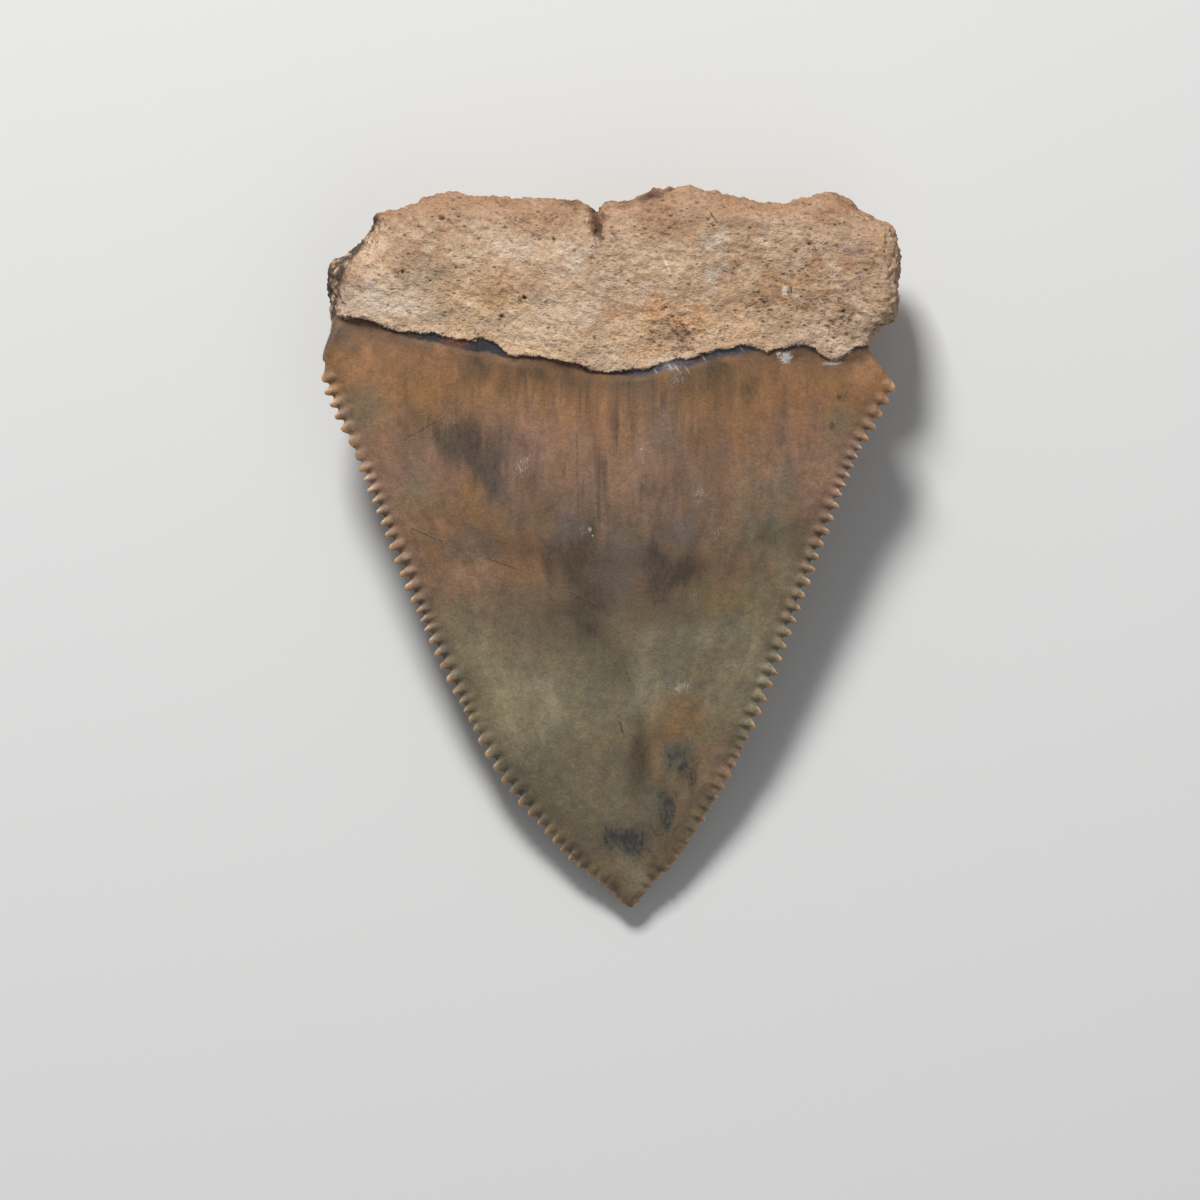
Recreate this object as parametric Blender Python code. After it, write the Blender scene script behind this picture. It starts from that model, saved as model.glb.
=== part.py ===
"""Fossil great white shark tooth, lying on the domed back of its root with the flat outer face up.

The tooth grew as one piece, so it is one solid: a triangular enamel crown with serrated cutting
edges, and a worn root of porous dentine across its wide end. Its outline is drawn flat, filled
with triangles, and lifted into an upper and a lower sheet that a wall joins round the rim.

Frame: +Z up, the tip points along -Y, the root lies at +Y. Lengths below are in millimetres.
"""

import math

import bpy
import bmesh
from mathutils import Vector, geometry, noise

MM = 0.001

# Heights above the table down the middle, as (y, z) from the tip to the top of the root. The
# crown's inner face is worked out past its neck too, because it passes smoothly into the root's.
OUTER_RIDGE = [(-26.15, 1.5), (-23.0, 2.5), (-18.0, 3.9), (-10.0, 5.7), (-2.0, 7.1), (5.0, 8.1),
               (12.0, 8.8), (18.0, 9.3), (23.0, 9.1), (26.2, 8.4)]
CUTTING_EDGE = [(-26.15, 1.3), (-22.0, 2.1), (-18.0, 2.9), (-10.0, 4.5), (-2.0, 5.8), (5.0, 6.8),
                (12.0, 7.4), (16.6, 7.3), (26.2, 6.4)]
INNER_CROWN_RIDGE = [(-26.15, 1.0), (-23.5, 0.3), (-20.0, -0.15), (-15.0, -0.1), (-8.0, 0.4),
                     (0.0, 1.0), (6.0, 1.6), (16.0, 2.4)]
INNER_ROOT_RIDGE = [(5.0, 1.2), (9.5, 0.5), (12.5, -0.3), (16.0, -0.5), (19.5, -0.1), (23.0, 0.9),
                    (26.2, 2.6)]

# How full the crown is across its width: a high power is flat with steep sides
OUTER_FACE_FLATNESS = 3.4
INNER_FACE_FLATNESS = 1.9

# The cutting edges in plan, from each shoulder to the tip, through the middle of the serrations
TIP = (1.5, -26.15)
LEFT_EDGE = [(-20.75, 12.6), (-20.0, 10.3), (-18.2, 6.4), (-15.9, 0.6), (-13.6, -5.1),
             (-10.9, -10.9), (-7.7, -16.7), (-2.9, -22.4), (0.0, -25.3), TIP]
RIGHT_EDGE = [(20.5, 11.9), (19.2, 9.3), (17.6, 6.4), (15.3, 0.6), (13.2, -5.1), (11.0, -10.9),
              (8.4, -16.7), (4.8, -22.4), (2.7, -25.25), TIP]

# Serrations from the shoulder to the tip, as (how many, spacing, height)
LEFT_SERRATIONS = [(5, 0.98, 0.50), (2, 1.15, 0.26), (7, 0.90, 0.48), (5, 1.08, 0.60),
                   (3, 0.76, 0.40), (5, 1.05, 0.52), (4, 0.74, 0.26), (7, 1.08, 0.52),
                   (6, 0.88, 0.42), (4, 0.98, 0.26)]
RIGHT_SERRATIONS = [(5, 1.00, 0.56), (6, 0.76, 0.36), (6, 0.98, 0.56), (6, 1.02, 0.60),
                    (6, 1.10, 0.64), (4, 0.76, 0.38), (5, 0.92, 0.44), (4, 1.10, 0.44),
                    (4, 0.72, 0.24)]
SERRATION_SPREAD = 0.08
# One serration from notch to notch, as (share of the spacing, share of the height)
SERRATION_OUTLINE = [(0.0, -0.5), (0.27, 0.28), (0.52, 0.5), (0.78, 0.22)]
SERRATION_CREST = 0.52
NOTCH_DIP = -0.28
CREST_LIFT = 0.24
BEAD_ROW = 0.42
BLADE_ROW = 1.25
PLAIN_TIP = 0.8

# The worn outline of the root, from the left shoulder up, across the top and down the right side
ROOT_LEFT_SIDE = [(-20.8, 13.4), (-20.5, 14.5), (-20.1, 15.6), (-20.0, 16.7), (-20.15, 17.9),
                  (-20.5, 18.9), (-20.45, 19.9), (-19.9, 20.6), (-18.8, 21.2), (-17.95, 22.0),
                  (-17.3, 22.7), (-16.95, 23.4), (-16.8, 24.0)]
ROOT_TOP = [(-16.4, 24.15), (-15.2, 24.35), (-14.1, 24.7), (-12.6, 25.3), (-11.3, 25.6),
            (-9.8, 25.4), (-8.3, 25.3), (-6.8, 25.15), (-5.2, 25.1), (-3.6, 25.15), (-2.5, 25.05),
            (-1.8, 24.75), (-1.35, 24.4), (-1.0, 24.15), (-0.75, 24.5), (-0.4, 24.9), (0.8, 25.05),
            (1.9, 25.25), (2.8, 25.7), (4.2, 26.0), (5.6, 26.1), (6.7, 25.8), (8.0, 25.4),
            (9.7, 25.0), (11.4, 24.7), (12.6, 24.8), (14.1, 25.3), (15.6, 25.8), (16.7, 25.2),
            (17.7, 24.4), (18.7, 23.7), (19.9, 23.45)]
ROOT_RIGHT_SIDE = [(20.4, 22.8), (20.7, 21.8), (20.85, 20.9), (20.6, 20.0), (20.55, 18.6),
                   (20.6, 17.3), (20.2, 16.4), (19.4, 15.8), (18.8, 15.2), (18.45, 14.3),
                   (19.1, 13.6), (19.9, 12.7)]

# Where the enamel ends below the root: on the flat outer face, and in a V on the domed inner face
OUTER_NECK = [(-20.6, 16.7), (-18.0, 16.3), (-15.2, 15.6), (-12.3, 15.1), (-9.4, 14.3),
              (-6.5, 13.7), (-3.3, 13.1), (-1.0, 12.7), (1.4, 12.6), (4.3, 13.1), (7.0, 13.7),
              (10.8, 14.3), (12.7, 13.5), (14.5, 14.3), (16.7, 13.4), (18.9, 14.0), (20.9, 13.9)]
INNER_NECK = [(-20.6, 15.6), (-16.0, 13.4), (-11.0, 11.0), (-6.0, 8.9), (-2.0, 7.7), (1.5, 7.2),
              (5.0, 7.9), (9.0, 9.5), (13.0, 11.3), (17.0, 13.0), (20.9, 14.2)]
OUTER_NECK_STEP = 0.35
OUTER_NECK_WIDTH = 0.5
INNER_NECK_WIDTH = 2.6
INNER_NECK_GROOVE = 0.25

# The left end of the root broke away on a slope, from this line on the outer face down to the rim
BREAK_LINE = [(-16.5, 24.1), (-17.0, 22.9), (-17.9, 21.5), (-18.7, 20.5), (-19.2, 19.4),
              (-19.5, 18.2), (-19.6, 17.1)]
BREAK_ENDS = (16.6, 24.2)
BREAK_RIM_HEIGHT = 5.2

# The short groove in the top of the root, from the rim down the outer face
GROOVE_TOP = Vector((-1.0, 24.4))
GROOVE_FOOT = Vector((-0.85, 21.4))
GROOVE_HALF_WIDTH = 0.62
GROOVE_DEPTH = 2.4

# Openings of the blood vessels on the inner face of the root, as (x, y, radius, depth)
PORES = [(-0.8, 11.3, 0.75, 0.9), (2.3, 12.1, 0.5, 0.5), (-3.9, 12.9, 0.5, 0.5)]

ROOT_START = 13.0
ROOT_LOBE_RISE = 3.0
ROOT_EDGE_ROUNDING = 1.5
ROOT_INNER_ROUNDING = 3.2
ROOT_RIM_THICKNESS = 2.6
ROOT_WALL_BULGE = 0.3
ROOT_RIM_RISE = 3.0
ROOT_WALL_LUMP_SIZE = 1.7
ROOT_LUMP_HEIGHT = 0.34
ROOT_LUMP_SIZE = 4.2
BLADE_RIM_THICKNESS = 0.26

ROOT_POINT_SPACING = 0.95
ROOT_EDGE_ROW = 0.75
CROWN_POINT_SPACING = 1.7
LEAST_POINT_GAP = 0.34
POINT_SEED = 5

ENAMEL_COLOUR = (0.22, 0.145, 0.085, 1.0)
DENTINE_COLOUR = (0.47, 0.32, 0.195, 1.0)


def along(profile, at):
    """The value of a smooth curve through (position, value) pairs, at one position."""
    last = len(profile) - 1
    if at <= profile[0][0]:
        return profile[0][1]
    if at >= profile[last][0]:
        return profile[last][1]
    i = next(k for k in range(last) if at <= profile[k + 1][0])
    (a, va), (b, vb) = profile[i], profile[i + 1]
    before = profile[max(i - 1, 0)]
    after = profile[min(i + 2, last)]
    slope_a = (vb - before[1]) / (b - before[0])
    slope_b = (after[1] - va) / (after[0] - a)
    span = b - a
    t = (at - a) / span
    return ((2 * t**3 - 3 * t**2 + 1) * va + (t**3 - 2 * t**2 + t) * span * slope_a
            + (3 * t**2 - 2 * t**3) * vb + (t**3 - t**2) * span * slope_b)


def smoothstep(share):
    share = min(1.0, max(0.0, share))
    return share * share * (3 - 2 * share)


def smooth_line(points, step=0.1):
    """A Catmull-Rom curve through the points, sampled about every step."""
    ends = [points[0], *points, points[-1]]
    line = []
    for p0, p1, p2, p3 in zip(ends, ends[1:], ends[2:], ends[3:]):
        p0, p1, p2, p3 = (Vector(p) for p in (p0, p1, p2, p3))
        count = max(2, round((p2 - p1).length / step))
        for k in range(count):
            t = k / count
            line.append(0.5 * (2 * p1 + (p2 - p0) * t + (2 * p0 - 5 * p1 + 4 * p2 - p3) * t * t
                               + (3 * p1 - p0 - 3 * p2 + p3) * t**3))
    return [*line, Vector(points[-1])]


def at_length(line, lengths, length):
    """The point and direction of a sampled line at a length along it."""
    i = next((k for k in range(len(line) - 1) if lengths[k + 1] >= length), len(line) - 2)
    share = (length - lengths[i]) / (lengths[i + 1] - lengths[i])
    ahead = line[min(i + 6, len(line) - 1)] - line[max(i - 6, 0)]
    return line[i].lerp(line[i + 1], share), ahead.normalized()


def running_lengths(line):
    lengths = [0.0]
    for a, b in zip(line, line[1:]):
        lengths.append(lengths[-1] + (b - a).length)
    return lengths


def nearest_on(polyline, point):
    """The distance from a point to a polyline."""
    best = math.inf
    for a, b in zip(polyline, polyline[1:]):
        foot, share = geometry.intersect_point_line(point, a, b)
        foot = a if share < 0 else b if share > 1 else foot
        best = min(best, (point - foot.to_2d()).length)
    return best


def serrations(edge, runs, outward, seed):
    """The serrated rim from shoulder to tip, and the ridges and notches just inside it.

    Returns (rim points, inner points as (point, lift)). outward is the side that the edge's
    normal takes, 1 or -1.
    """
    line = smooth_line(edge)
    lengths = running_lengths(line)
    noise.seed_set(seed)
    sizes = [(spacing * (1 + SERRATION_SPREAD * (2 * noise.random() - 1)),
              height * (1 + 2 * SERRATION_SPREAD * (2 * noise.random() - 1)))
             for count, spacing, height in runs for _ in range(count)]
    fit = (lengths[-1] - PLAIN_TIP) / sum(spacing for spacing, _ in sizes)
    rim, inner = [], []
    start = 0.0

    def place(length, out):
        point, ahead = at_length(line, lengths, length)
        return point + outward * out * Vector((-ahead.y, ahead.x))

    for spacing, height in sizes:
        spacing *= fit
        rim += [place(start + share * spacing, out * height) for share, out in SERRATION_OUTLINE]
        crest = start + SERRATION_CREST * spacing
        inner.append((place(start, -0.5 * height - BEAD_ROW), NOTCH_DIP * height))
        inner.append((place(crest, -BEAD_ROW), CREST_LIFT * height))
        inner.append((place(crest, -BLADE_ROW), 0.0))
        start += spacing
    rim.append(place(start, -0.1))
    return rim, inner


def outline():
    """The rim of the tooth as a closed loop, anticlockwise from the left shoulder, with the
    points that shape the serrations and where the crown's part of the rim ends."""
    left_rim, left_inner = serrations(LEFT_EDGE, LEFT_SERRATIONS, -1, seed=3)
    right_rim, right_inner = serrations(RIGHT_EDGE, RIGHT_SERRATIONS, 1, seed=8)
    crown = [*left_rim, Vector(TIP), *reversed(right_rim)]
    root = [Vector(p) for p in reversed(ROOT_LEFT_SIDE + ROOT_TOP + ROOT_RIGHT_SIDE)]
    return crown + root, len(crown), left_inner + right_inner


class Form:
    """The heights of the two faces of the tooth over any point of its plan."""

    def __init__(self):
        self.left_side = sorted((y, x) for x, y in LEFT_EDGE + ROOT_LEFT_SIDE[::3])
        self.right_side = sorted((y, x) for x, y in RIGHT_EDGE + ROOT_RIGHT_SIDE[::3])
        self.root_rim = [Vector(p) for p in ROOT_LEFT_SIDE + ROOT_TOP + ROOT_RIGHT_SIDE]
        self.break_line = sorted((y, x) for x, y in BREAK_LINE)

    def across(self, p):
        """0 on the middle line of the tooth, 1 at its sides."""
        left, right = along(self.left_side, p.y), along(self.right_side, p.y)
        return min(1.0, abs(2 * (p.x - left) / (right - left) - 1))

    def beyond_break(self, p):
        """Whether a point lies outside the line where the left end broke away."""
        low, high = BREAK_ENDS
        return low < p.y < high and p.x < along(self.break_line, p.y) - 0.05

    def broken(self, p):
        """1 on the rim along the break, fading to 0 at both ends of it."""
        low, high = BREAK_ENDS
        share = (p.y - low) / (high - low)
        on_left = p.x < BREAK_LINE[0][0]
        return on_left * max(0.0, min(1.0, 6 * share, 6 * (1 - share)))

    def groove(self, p):
        """How deep the groove in the top of the root is at a point."""
        axis = GROOVE_TOP - GROOVE_FOOT
        share = (p - GROOVE_FOOT).dot(axis) / axis.length_squared
        if share <= 0:
            return 0.0
        side = (p - GROOVE_FOOT - share * axis).length
        width = GROOVE_HALF_WIDTH * min(1.0, 0.35 + 0.65 * share)
        return GROOVE_DEPTH * min(1.0, share) * max(0.0, 1 - side / width)

    def pores(self, p):
        """How deep the vessel openings on the inner face are at a point."""
        return max(depth * max(0.0, 1 - (p - Vector((x, y))).length / radius)
                   for x, y, radius, depth in PORES)

    def lumps(self, p, z):
        """The worn, uneven relief of the root."""
        at = Vector((p.x, p.y, z)) / ROOT_LUMP_SIZE
        return ROOT_LUMP_HEIGHT * (noise.noise(at) + 0.5 * noise.noise(2.4 * at))

    def rounding(self, p, radius):
        """0 on the root's rim, rising as a quarter ellipse to 1 at radius inside it."""
        share = min(1.0, nearest_on(self.root_rim, p) / radius)
        return math.sqrt(1 - (1 - share) ** 2)

    def rim(self, p):
        """The heights of the upper and the lower edge of the rim."""
        edge = along(CUTTING_EDGE, p.y)
        share = smoothstep((p.y - ROOT_START) / ROOT_RIM_RISE)
        thick = BLADE_RIM_THICKNESS + share * (ROOT_RIM_THICKNESS - BLADE_RIM_THICKNESS)
        upper = edge + (0.5 - 0.25 * share) * thick + share * self.lumps(p, 7.0)
        upper += self.broken(p) * (BREAK_RIM_HEIGHT - upper)
        return upper, upper - thick

    def outer(self, p):
        """The height of the flat outer face, which lies uppermost."""
        edge, ridge = along(CUTTING_EDGE, p.y), along(OUTER_RIDGE, p.y)
        neck = along(OUTER_NECK, p.x)
        if p.y < neck:
            return edge + (ridge - edge) * (1 - self.across(p) ** OUTER_FACE_FLATNESS)
        upper, _ = self.rim(p)
        if self.beyond_break(p):
            return upper + 0.5
        step = OUTER_NECK_STEP * math.exp((neck - p.y) / 2.5)
        face = ridge - 0.9 * self.across(p) ** 2 + step + self.lumps(p, 9.0)
        return upper + (face - upper) * self.rounding(p, ROOT_EDGE_ROUNDING) - self.groove(p)

    def inner(self, p):
        """The height of the domed inner face, which lies underneath."""
        edge, ridge = along(CUTTING_EDGE, p.y), along(INNER_CROWN_RIDGE, p.y)
        crown = edge - (edge - ridge) * (1 - self.across(p) ** INNER_FACE_FLATNESS)
        past_neck = (p.y - along(INNER_NECK, p.x)) / INNER_NECK_WIDTH
        root_share = smoothstep(past_neck + 0.5)
        if root_share == 0.0:
            return crown
        _, lower = self.rim(p)
        face = along(INNER_ROOT_RIDGE, p.y) + ROOT_LOBE_RISE * self.across(p) ** 1.7
        face += self.lumps(p, 0.0) + self.pores(p)
        root = lower + (face - lower) * self.rounding(p, ROOT_INNER_ROUNDING)
        groove = INNER_NECK_GROOVE * max(0.0, 1 - abs(2 * past_neck))
        return crown + root_share * (root - crown) + groove


def outward_directions(loop):
    """The outward direction in plan at each point of the rim, which runs anticlockwise."""
    directions = []
    for before, after in zip([loop[-1], *loop], [*loop[1:], loop[0]]):
        ahead = (after - before).normalized()
        directions.append(Vector((ahead.y, -ahead.x)))
    return directions


def hexagonal_grid(spacing, low, high):
    """Points of a hexagonal grid over a box, nudged a little so that they form no rows."""
    row = 0
    y = low[1]
    while y < high[1]:
        x = low[0] + (row % 2) * spacing / 2
        while x < high[0]:
            nudge = noise.random_unit_vector(size=2)
            yield Vector((x, y)) + 0.2 * spacing * nudge
            x += spacing
        y += spacing * math.sqrt(3) / 2
        row += 1


def line_points(points, spacing, shift):
    """Points about every spacing along a line, moved by shift along +Y."""
    return [p + Vector((0.0, shift)) for p in smooth_line(points, spacing)]


def plan_points():
    """The rim, then every point inside it, with the lift that the serrations give some of them."""
    rim, crown_count, serration_points = outline()
    outward = outward_directions(rim)
    closed_rim = [*rim, rim[0]]
    inside, lifts = [], []

    def inside_rim(p):
        crossings = 0
        for a, b in zip(closed_rim, closed_rim[1:]):
            if (a.y > p.y) != (b.y > p.y):
                crossings += p.x < a.x + (p.y - a.y) / (b.y - a.y) * (b.x - a.x)
        return crossings % 2 == 1

    def add(p, gap, rim_gap, lift=0.0):
        if not inside_rim(p) or nearest_on(closed_rim, p) < rim_gap:
            return
        if all((p - other).length > gap for other in inside):
            inside.append(p)
            lifts.append(lift)

    for p, lift in serration_points:
        add(p, 0.3, 0.2, lift)
    for p, out in zip(rim[crown_count:], outward[crown_count:]):
        add(p - ROOT_EDGE_ROW * out, 0.3, 0.7 * ROOT_EDGE_ROW)
    for x, y, radius, _ in PORES:
        add(Vector((x, y)), LEAST_POINT_GAP, 0.3)
        for k in range(6):
            turn = math.tau * k / 6
            add(Vector((x + radius * math.cos(turn), y + radius * math.sin(turn))), 0.2, 0.3)
    for shift in (-OUTER_NECK_WIDTH / 2, OUTER_NECK_WIDTH / 2):
        for p in line_points(OUTER_NECK, 0.8, shift):
            add(p, LEAST_POINT_GAP, 0.3)
    for shift in (-INNER_NECK_WIDTH / 2, 0.0, INNER_NECK_WIDTH / 2):
        for p in line_points(INNER_NECK, 1.0, shift):
            add(p, 1.5 * LEAST_POINT_GAP, 0.4)
    for p in line_points(BREAK_LINE, 0.7, 0.0):
        add(p, LEAST_POINT_GAP, 0.25)
    for share in (0.05, 0.3, 0.55, 0.8, 1.0):
        middle = GROOVE_FOOT.lerp(GROOVE_TOP, share)
        width = GROOVE_HALF_WIDTH * (0.35 + 0.65 * share) + 0.08
        for side in (0.0, -width, width):
            add(middle + Vector((side, 0.0)), 0.2, 0.15)
    noise.seed_set(POINT_SEED)
    for p in hexagonal_grid(ROOT_POINT_SPACING, (-21.0, 6.0), (21.0, 26.5)):
        if p.y > min(along(OUTER_NECK, p.x), along(INNER_NECK, p.x)):
            add(p, 0.6 * ROOT_POINT_SPACING, 1.2 * ROOT_EDGE_ROW)
    for p in hexagonal_grid(CROWN_POINT_SPACING, (-21.0, -26.0), (21.0, 14.0)):
        add(p, 0.6 * CROWN_POINT_SPACING, 1.5)
    return rim, crown_count, inside, lifts


def wall_column(mesh, top, bottom, outward):
    """The points of the root's wall at one point of the rim, where its edge is rounded."""
    column = [top]
    for share in (0.33, 0.67):
        at = top.co.lerp(bottom.co, share)
        swell = ROOT_WALL_BULGE * (1 + 0.6 * noise.noise(at / ROOT_WALL_LUMP_SIZE))
        column.append(mesh.verts.new((at.x + swell * outward.x, at.y + swell * outward.y, at.z)))
    return [*column, bottom]


def tooth_mesh():
    """The tooth as a closed bmesh, in millimetres."""
    form = Form()
    rim, crown_count, inside, lifts = plan_points()
    outward = outward_directions(rim)
    flat, _, triangles, sources, _, _ = geometry.delaunay_2d_cdt(
        rim + inside, [], [list(range(len(rim)))], 1, 1e-5)

    mesh = bmesh.new()
    upper, lower = {}, {}
    for p, (index, *_) in zip(flat, sources):
        if index < len(rim):
            high, low = form.rim(p)
            if index >= crown_count:
                p = p - ROOT_WALL_BULGE * outward[index]
        else:
            lift = lifts[index - len(rim)]
            high, low = form.outer(p) + lift, form.inner(p) - lift
        low = max(0.0, min(low, high - BLADE_RIM_THICKNESS))
        upper[index] = mesh.verts.new((p.x, p.y, high))
        lower[index] = mesh.verts.new((p.x, p.y, low))
    for corners in triangles:
        a, b, c = (sources[corner][0] for corner in corners)
        mesh.faces.new((upper[a], upper[b], upper[c]))
        mesh.faces.new((lower[c], lower[b], lower[a]))

    columns = []
    for i in range(len(rim)):
        if i < crown_count:
            columns.append([upper[i], lower[i]])
        else:
            columns.append(wall_column(mesh, upper[i], lower[i], outward[i]))
    for one, other in zip(columns, [*columns[1:], columns[0]]):
        if len(one) == len(other):
            for k in range(len(one) - 1):
                mesh.faces.new((one[k], one[k + 1], other[k + 1], other[k]))
        else:
            mesh.faces.new((*one, *reversed(other)))
    bmesh.ops.triangulate(mesh, faces=[f for f in mesh.faces if len(f.verts) > 3])
    bmesh.ops.recalc_face_normals(mesh, faces=mesh.faces)
    return mesh


def coloured(name, colour, roughness):
    material = bpy.data.materials.new(name)
    material.use_nodes = True
    shader = material.node_tree.nodes["Principled BSDF"]
    shader.inputs["Base Color"].default_value = colour
    shader.inputs["Roughness"].default_value = roughness
    shader.inputs["Metallic"].default_value = 0.0
    material.diffuse_color = colour
    return material


def build():
    for obj in list(bpy.data.objects):
        bpy.data.objects.remove(obj, do_unlink=True)
    solid = tooth_mesh()
    for face in solid.faces:
        centre = face.calc_center_median()
        neck = OUTER_NECK if face.normal.z > 0 else INNER_NECK
        face.material_index = int(centre.y > along(neck, centre.x))
    xs = [v.co.x for v in solid.verts]
    ys = [v.co.y for v in solid.verts]
    middle = Vector(((min(xs) + max(xs)) / 2, (min(ys) + max(ys)) / 2, 0.0))
    bmesh.ops.translate(solid, verts=solid.verts, vec=-middle)
    bmesh.ops.scale(solid, verts=solid.verts, vec=(MM, MM, MM))
    data = bpy.data.meshes.new("shark_tooth")
    solid.to_mesh(data)
    solid.free()
    data.materials.append(coloured("fossil enamel", ENAMEL_COLOUR, 0.35))
    data.materials.append(coloured("root dentine", DENTINE_COLOUR, 0.85))
    data.shade_smooth()
    data.set_sharp_from_angle(angle=math.radians(40))
    tooth = bpy.data.objects.new("shark_tooth", data)
    bpy.context.scene.collection.objects.link(tooth)


build()
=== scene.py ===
import math

import bpy
import numpy as np
from mathutils import Matrix, Vector, kdtree, noise


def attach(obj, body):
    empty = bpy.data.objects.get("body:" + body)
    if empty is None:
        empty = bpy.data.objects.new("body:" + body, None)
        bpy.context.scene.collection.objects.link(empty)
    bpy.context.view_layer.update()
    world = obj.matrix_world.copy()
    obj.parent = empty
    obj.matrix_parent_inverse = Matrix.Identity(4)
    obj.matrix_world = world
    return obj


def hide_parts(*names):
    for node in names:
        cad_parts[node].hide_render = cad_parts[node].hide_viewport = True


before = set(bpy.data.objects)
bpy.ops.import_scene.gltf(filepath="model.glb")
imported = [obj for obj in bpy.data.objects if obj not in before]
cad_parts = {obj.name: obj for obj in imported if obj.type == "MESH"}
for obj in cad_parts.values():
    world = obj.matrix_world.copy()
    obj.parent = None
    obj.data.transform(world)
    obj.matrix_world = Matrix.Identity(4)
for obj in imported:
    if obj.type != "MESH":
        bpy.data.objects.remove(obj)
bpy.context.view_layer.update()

mm = 0.001  # the scene is in metres, and the tooth is worked on at 1000 times its size, in mm

# The tooth lies as the frame holds it: tip towards -Y, flat outer face up, domed inner face down.
# Lengths and places below are in mm.
tooth = {
    "leftEdge": [(-20.75, 12.6), (-20.0, 10.3), (-18.2, 6.4), (-15.9, 0.6), (-13.6, -5.1),
                 (-10.9, -10.9), (-7.7, -16.7), (-2.9, -22.4), (-0.9, -24.0), (0.45, -25.3),
                 (1.5, -26.15)],
    "rightEdge": [(20.5, 11.9), (19.2, 9.3), (17.6, 6.4), (15.3, 0.6), (13.2, -5.1), (11.0, -10.9),
                  (8.4, -16.7), (4.8, -22.4), (3.3, -24.0), (2.25, -25.25), (1.5, -26.15)],
    # the solid's tip is blunt: past this y it narrows about this x, to this share of its width
    "narrowTip": (-22.4, 1.4, 0.6),
    "edgeHeight": [(-26.15, 1.3), (-22.0, 2.1), (-18.0, 2.9), (-10.0, 4.5), (-2.0, 5.8), (5.0, 6.8),
                   (12.0, 7.4), (16.6, 7.3), (26.2, 6.4)],
    "turnsUnder": (0.9, 0.7),  # how far below that the inner face begins, and over what height
    # where the enamel ends on the flat face: as the solid has it, and with every chip and drip
    "neck": [(-20.6, 16.7), (-18.0, 16.3), (-15.2, 15.6), (-12.3, 15.1), (-9.4, 14.3),
             (-6.5, 13.7), (-3.3, 13.1), (-1.0, 12.7), (1.4, 12.6), (4.3, 13.1), (7.0, 13.7),
             (10.8, 14.3), (12.7, 13.5), (14.5, 14.3), (16.7, 13.4), (18.9, 14.0), (20.9, 13.9)],
    "raggedNeck": [(-20.6, 16.75), (-19.0, 16.6), (-17.6, 16.35), (-16.7, 16.0), (-15.7, 15.65),
                   (-13.9, 15.4), (-12.8, 15.35), (-12.0, 15.1), (-11.2, 15.0), (-9.9, 14.85),
                   (-9.2, 14.95), (-8.4, 14.7), (-7.6, 14.05), (-7.0, 13.7), (-5.4, 13.65),
                   (-3.9, 13.45), (-2.3, 13.1), (-1.4, 12.75), (-0.6, 12.6), (0.7, 12.65),
                   (1.5, 12.8), (2.3, 12.75), (3.4, 13.1), (4.4, 13.45), (5.4, 13.5), (6.3, 13.75),
                   (7.3, 14.05), (8.2, 14.25), (9.7, 14.5), (10.1, 14.35), (11.0, 14.05),
                   (11.3, 13.9), (11.75, 14.2), (12.5, 14.25), (13.2, 14.55), (14.1, 14.5),
                   (14.7, 14.2), (15.3, 13.75), (16.0, 13.45), (16.6, 13.75), (17.3, 14.2),
                   (18.4, 14.5), (20.9, 14.3)],
    "innerNeck": [(-20.6, 15.6), (-16.0, 13.4), (-11.0, 11.0), (-6.0, 8.9), (-2.0, 7.7), (1.5, 7.2),
                  (5.0, 7.9), (9.0, 9.5), (13.0, 11.3), (17.0, 13.0), (20.9, 14.2)],
    "neckJags": [(0.9, 0.14), (0.3, 0.08)],  # and how it wanders besides: wavelength and depth
    # how wide the dark strip below the root is, along x
    "stripWidth": [(-20.6, 0.15), (-19.0, 0.15), (-17.6, 0.28), (-16.7, 0.2), (-13.9, 0.50),
                   (-12.0, 0.65), (-11.0, 0.70), (-9.3, 1.0), (-8.4, 0.90), (-7.6, 0.6),
                   (-7.0, 0.30), (-5.4, 0.30), (-3.9, 0.48), (-2.4, 0.45), (-0.6, 0.35),
                   (0.7, 0.40), (1.5, 0.5), (4.4, 0.7), (7.3, 0.6), (9.7, 0.6), (10.1, 0.4),
                   (11.0, 0.2), (12.0, 0.25), (13.4, 0.35), (14.6, 0.2), (15.4, 0.06),
                   (17.0, 0.06), (17.4, 0.3), (18.4, 0.3), (20.9, 0.1)],
    # the left end of the root broke away outside this line, given as (y, x)
    "breakLine": [(16.6, -19.6), (17.1, -19.6), (18.2, -19.5), (19.4, -19.2), (20.5, -18.7),
                  (21.5, -17.9), (22.9, -17.0), (24.2, -16.5)],
}


def selectOnly(*things):
    bpy.ops.object.select_all(action="DESELECT")
    for thing in things:
        thing.select_set(True)
    bpy.context.view_layer.objects.active = things[0]


def applyModifier(thing, kind, **settings):
    selectOnly(thing)
    modifier = thing.modifiers.new(kind.lower(), kind)
    for name, value in settings.items():
        setattr(modifier, name, value)
    bpy.ops.object.modifier_apply(modifier=modifier.name)


def smoothstep(share):
    share = np.clip(share, 0.0, 1.0)
    return share * share * (3 - 2 * share)


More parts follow.
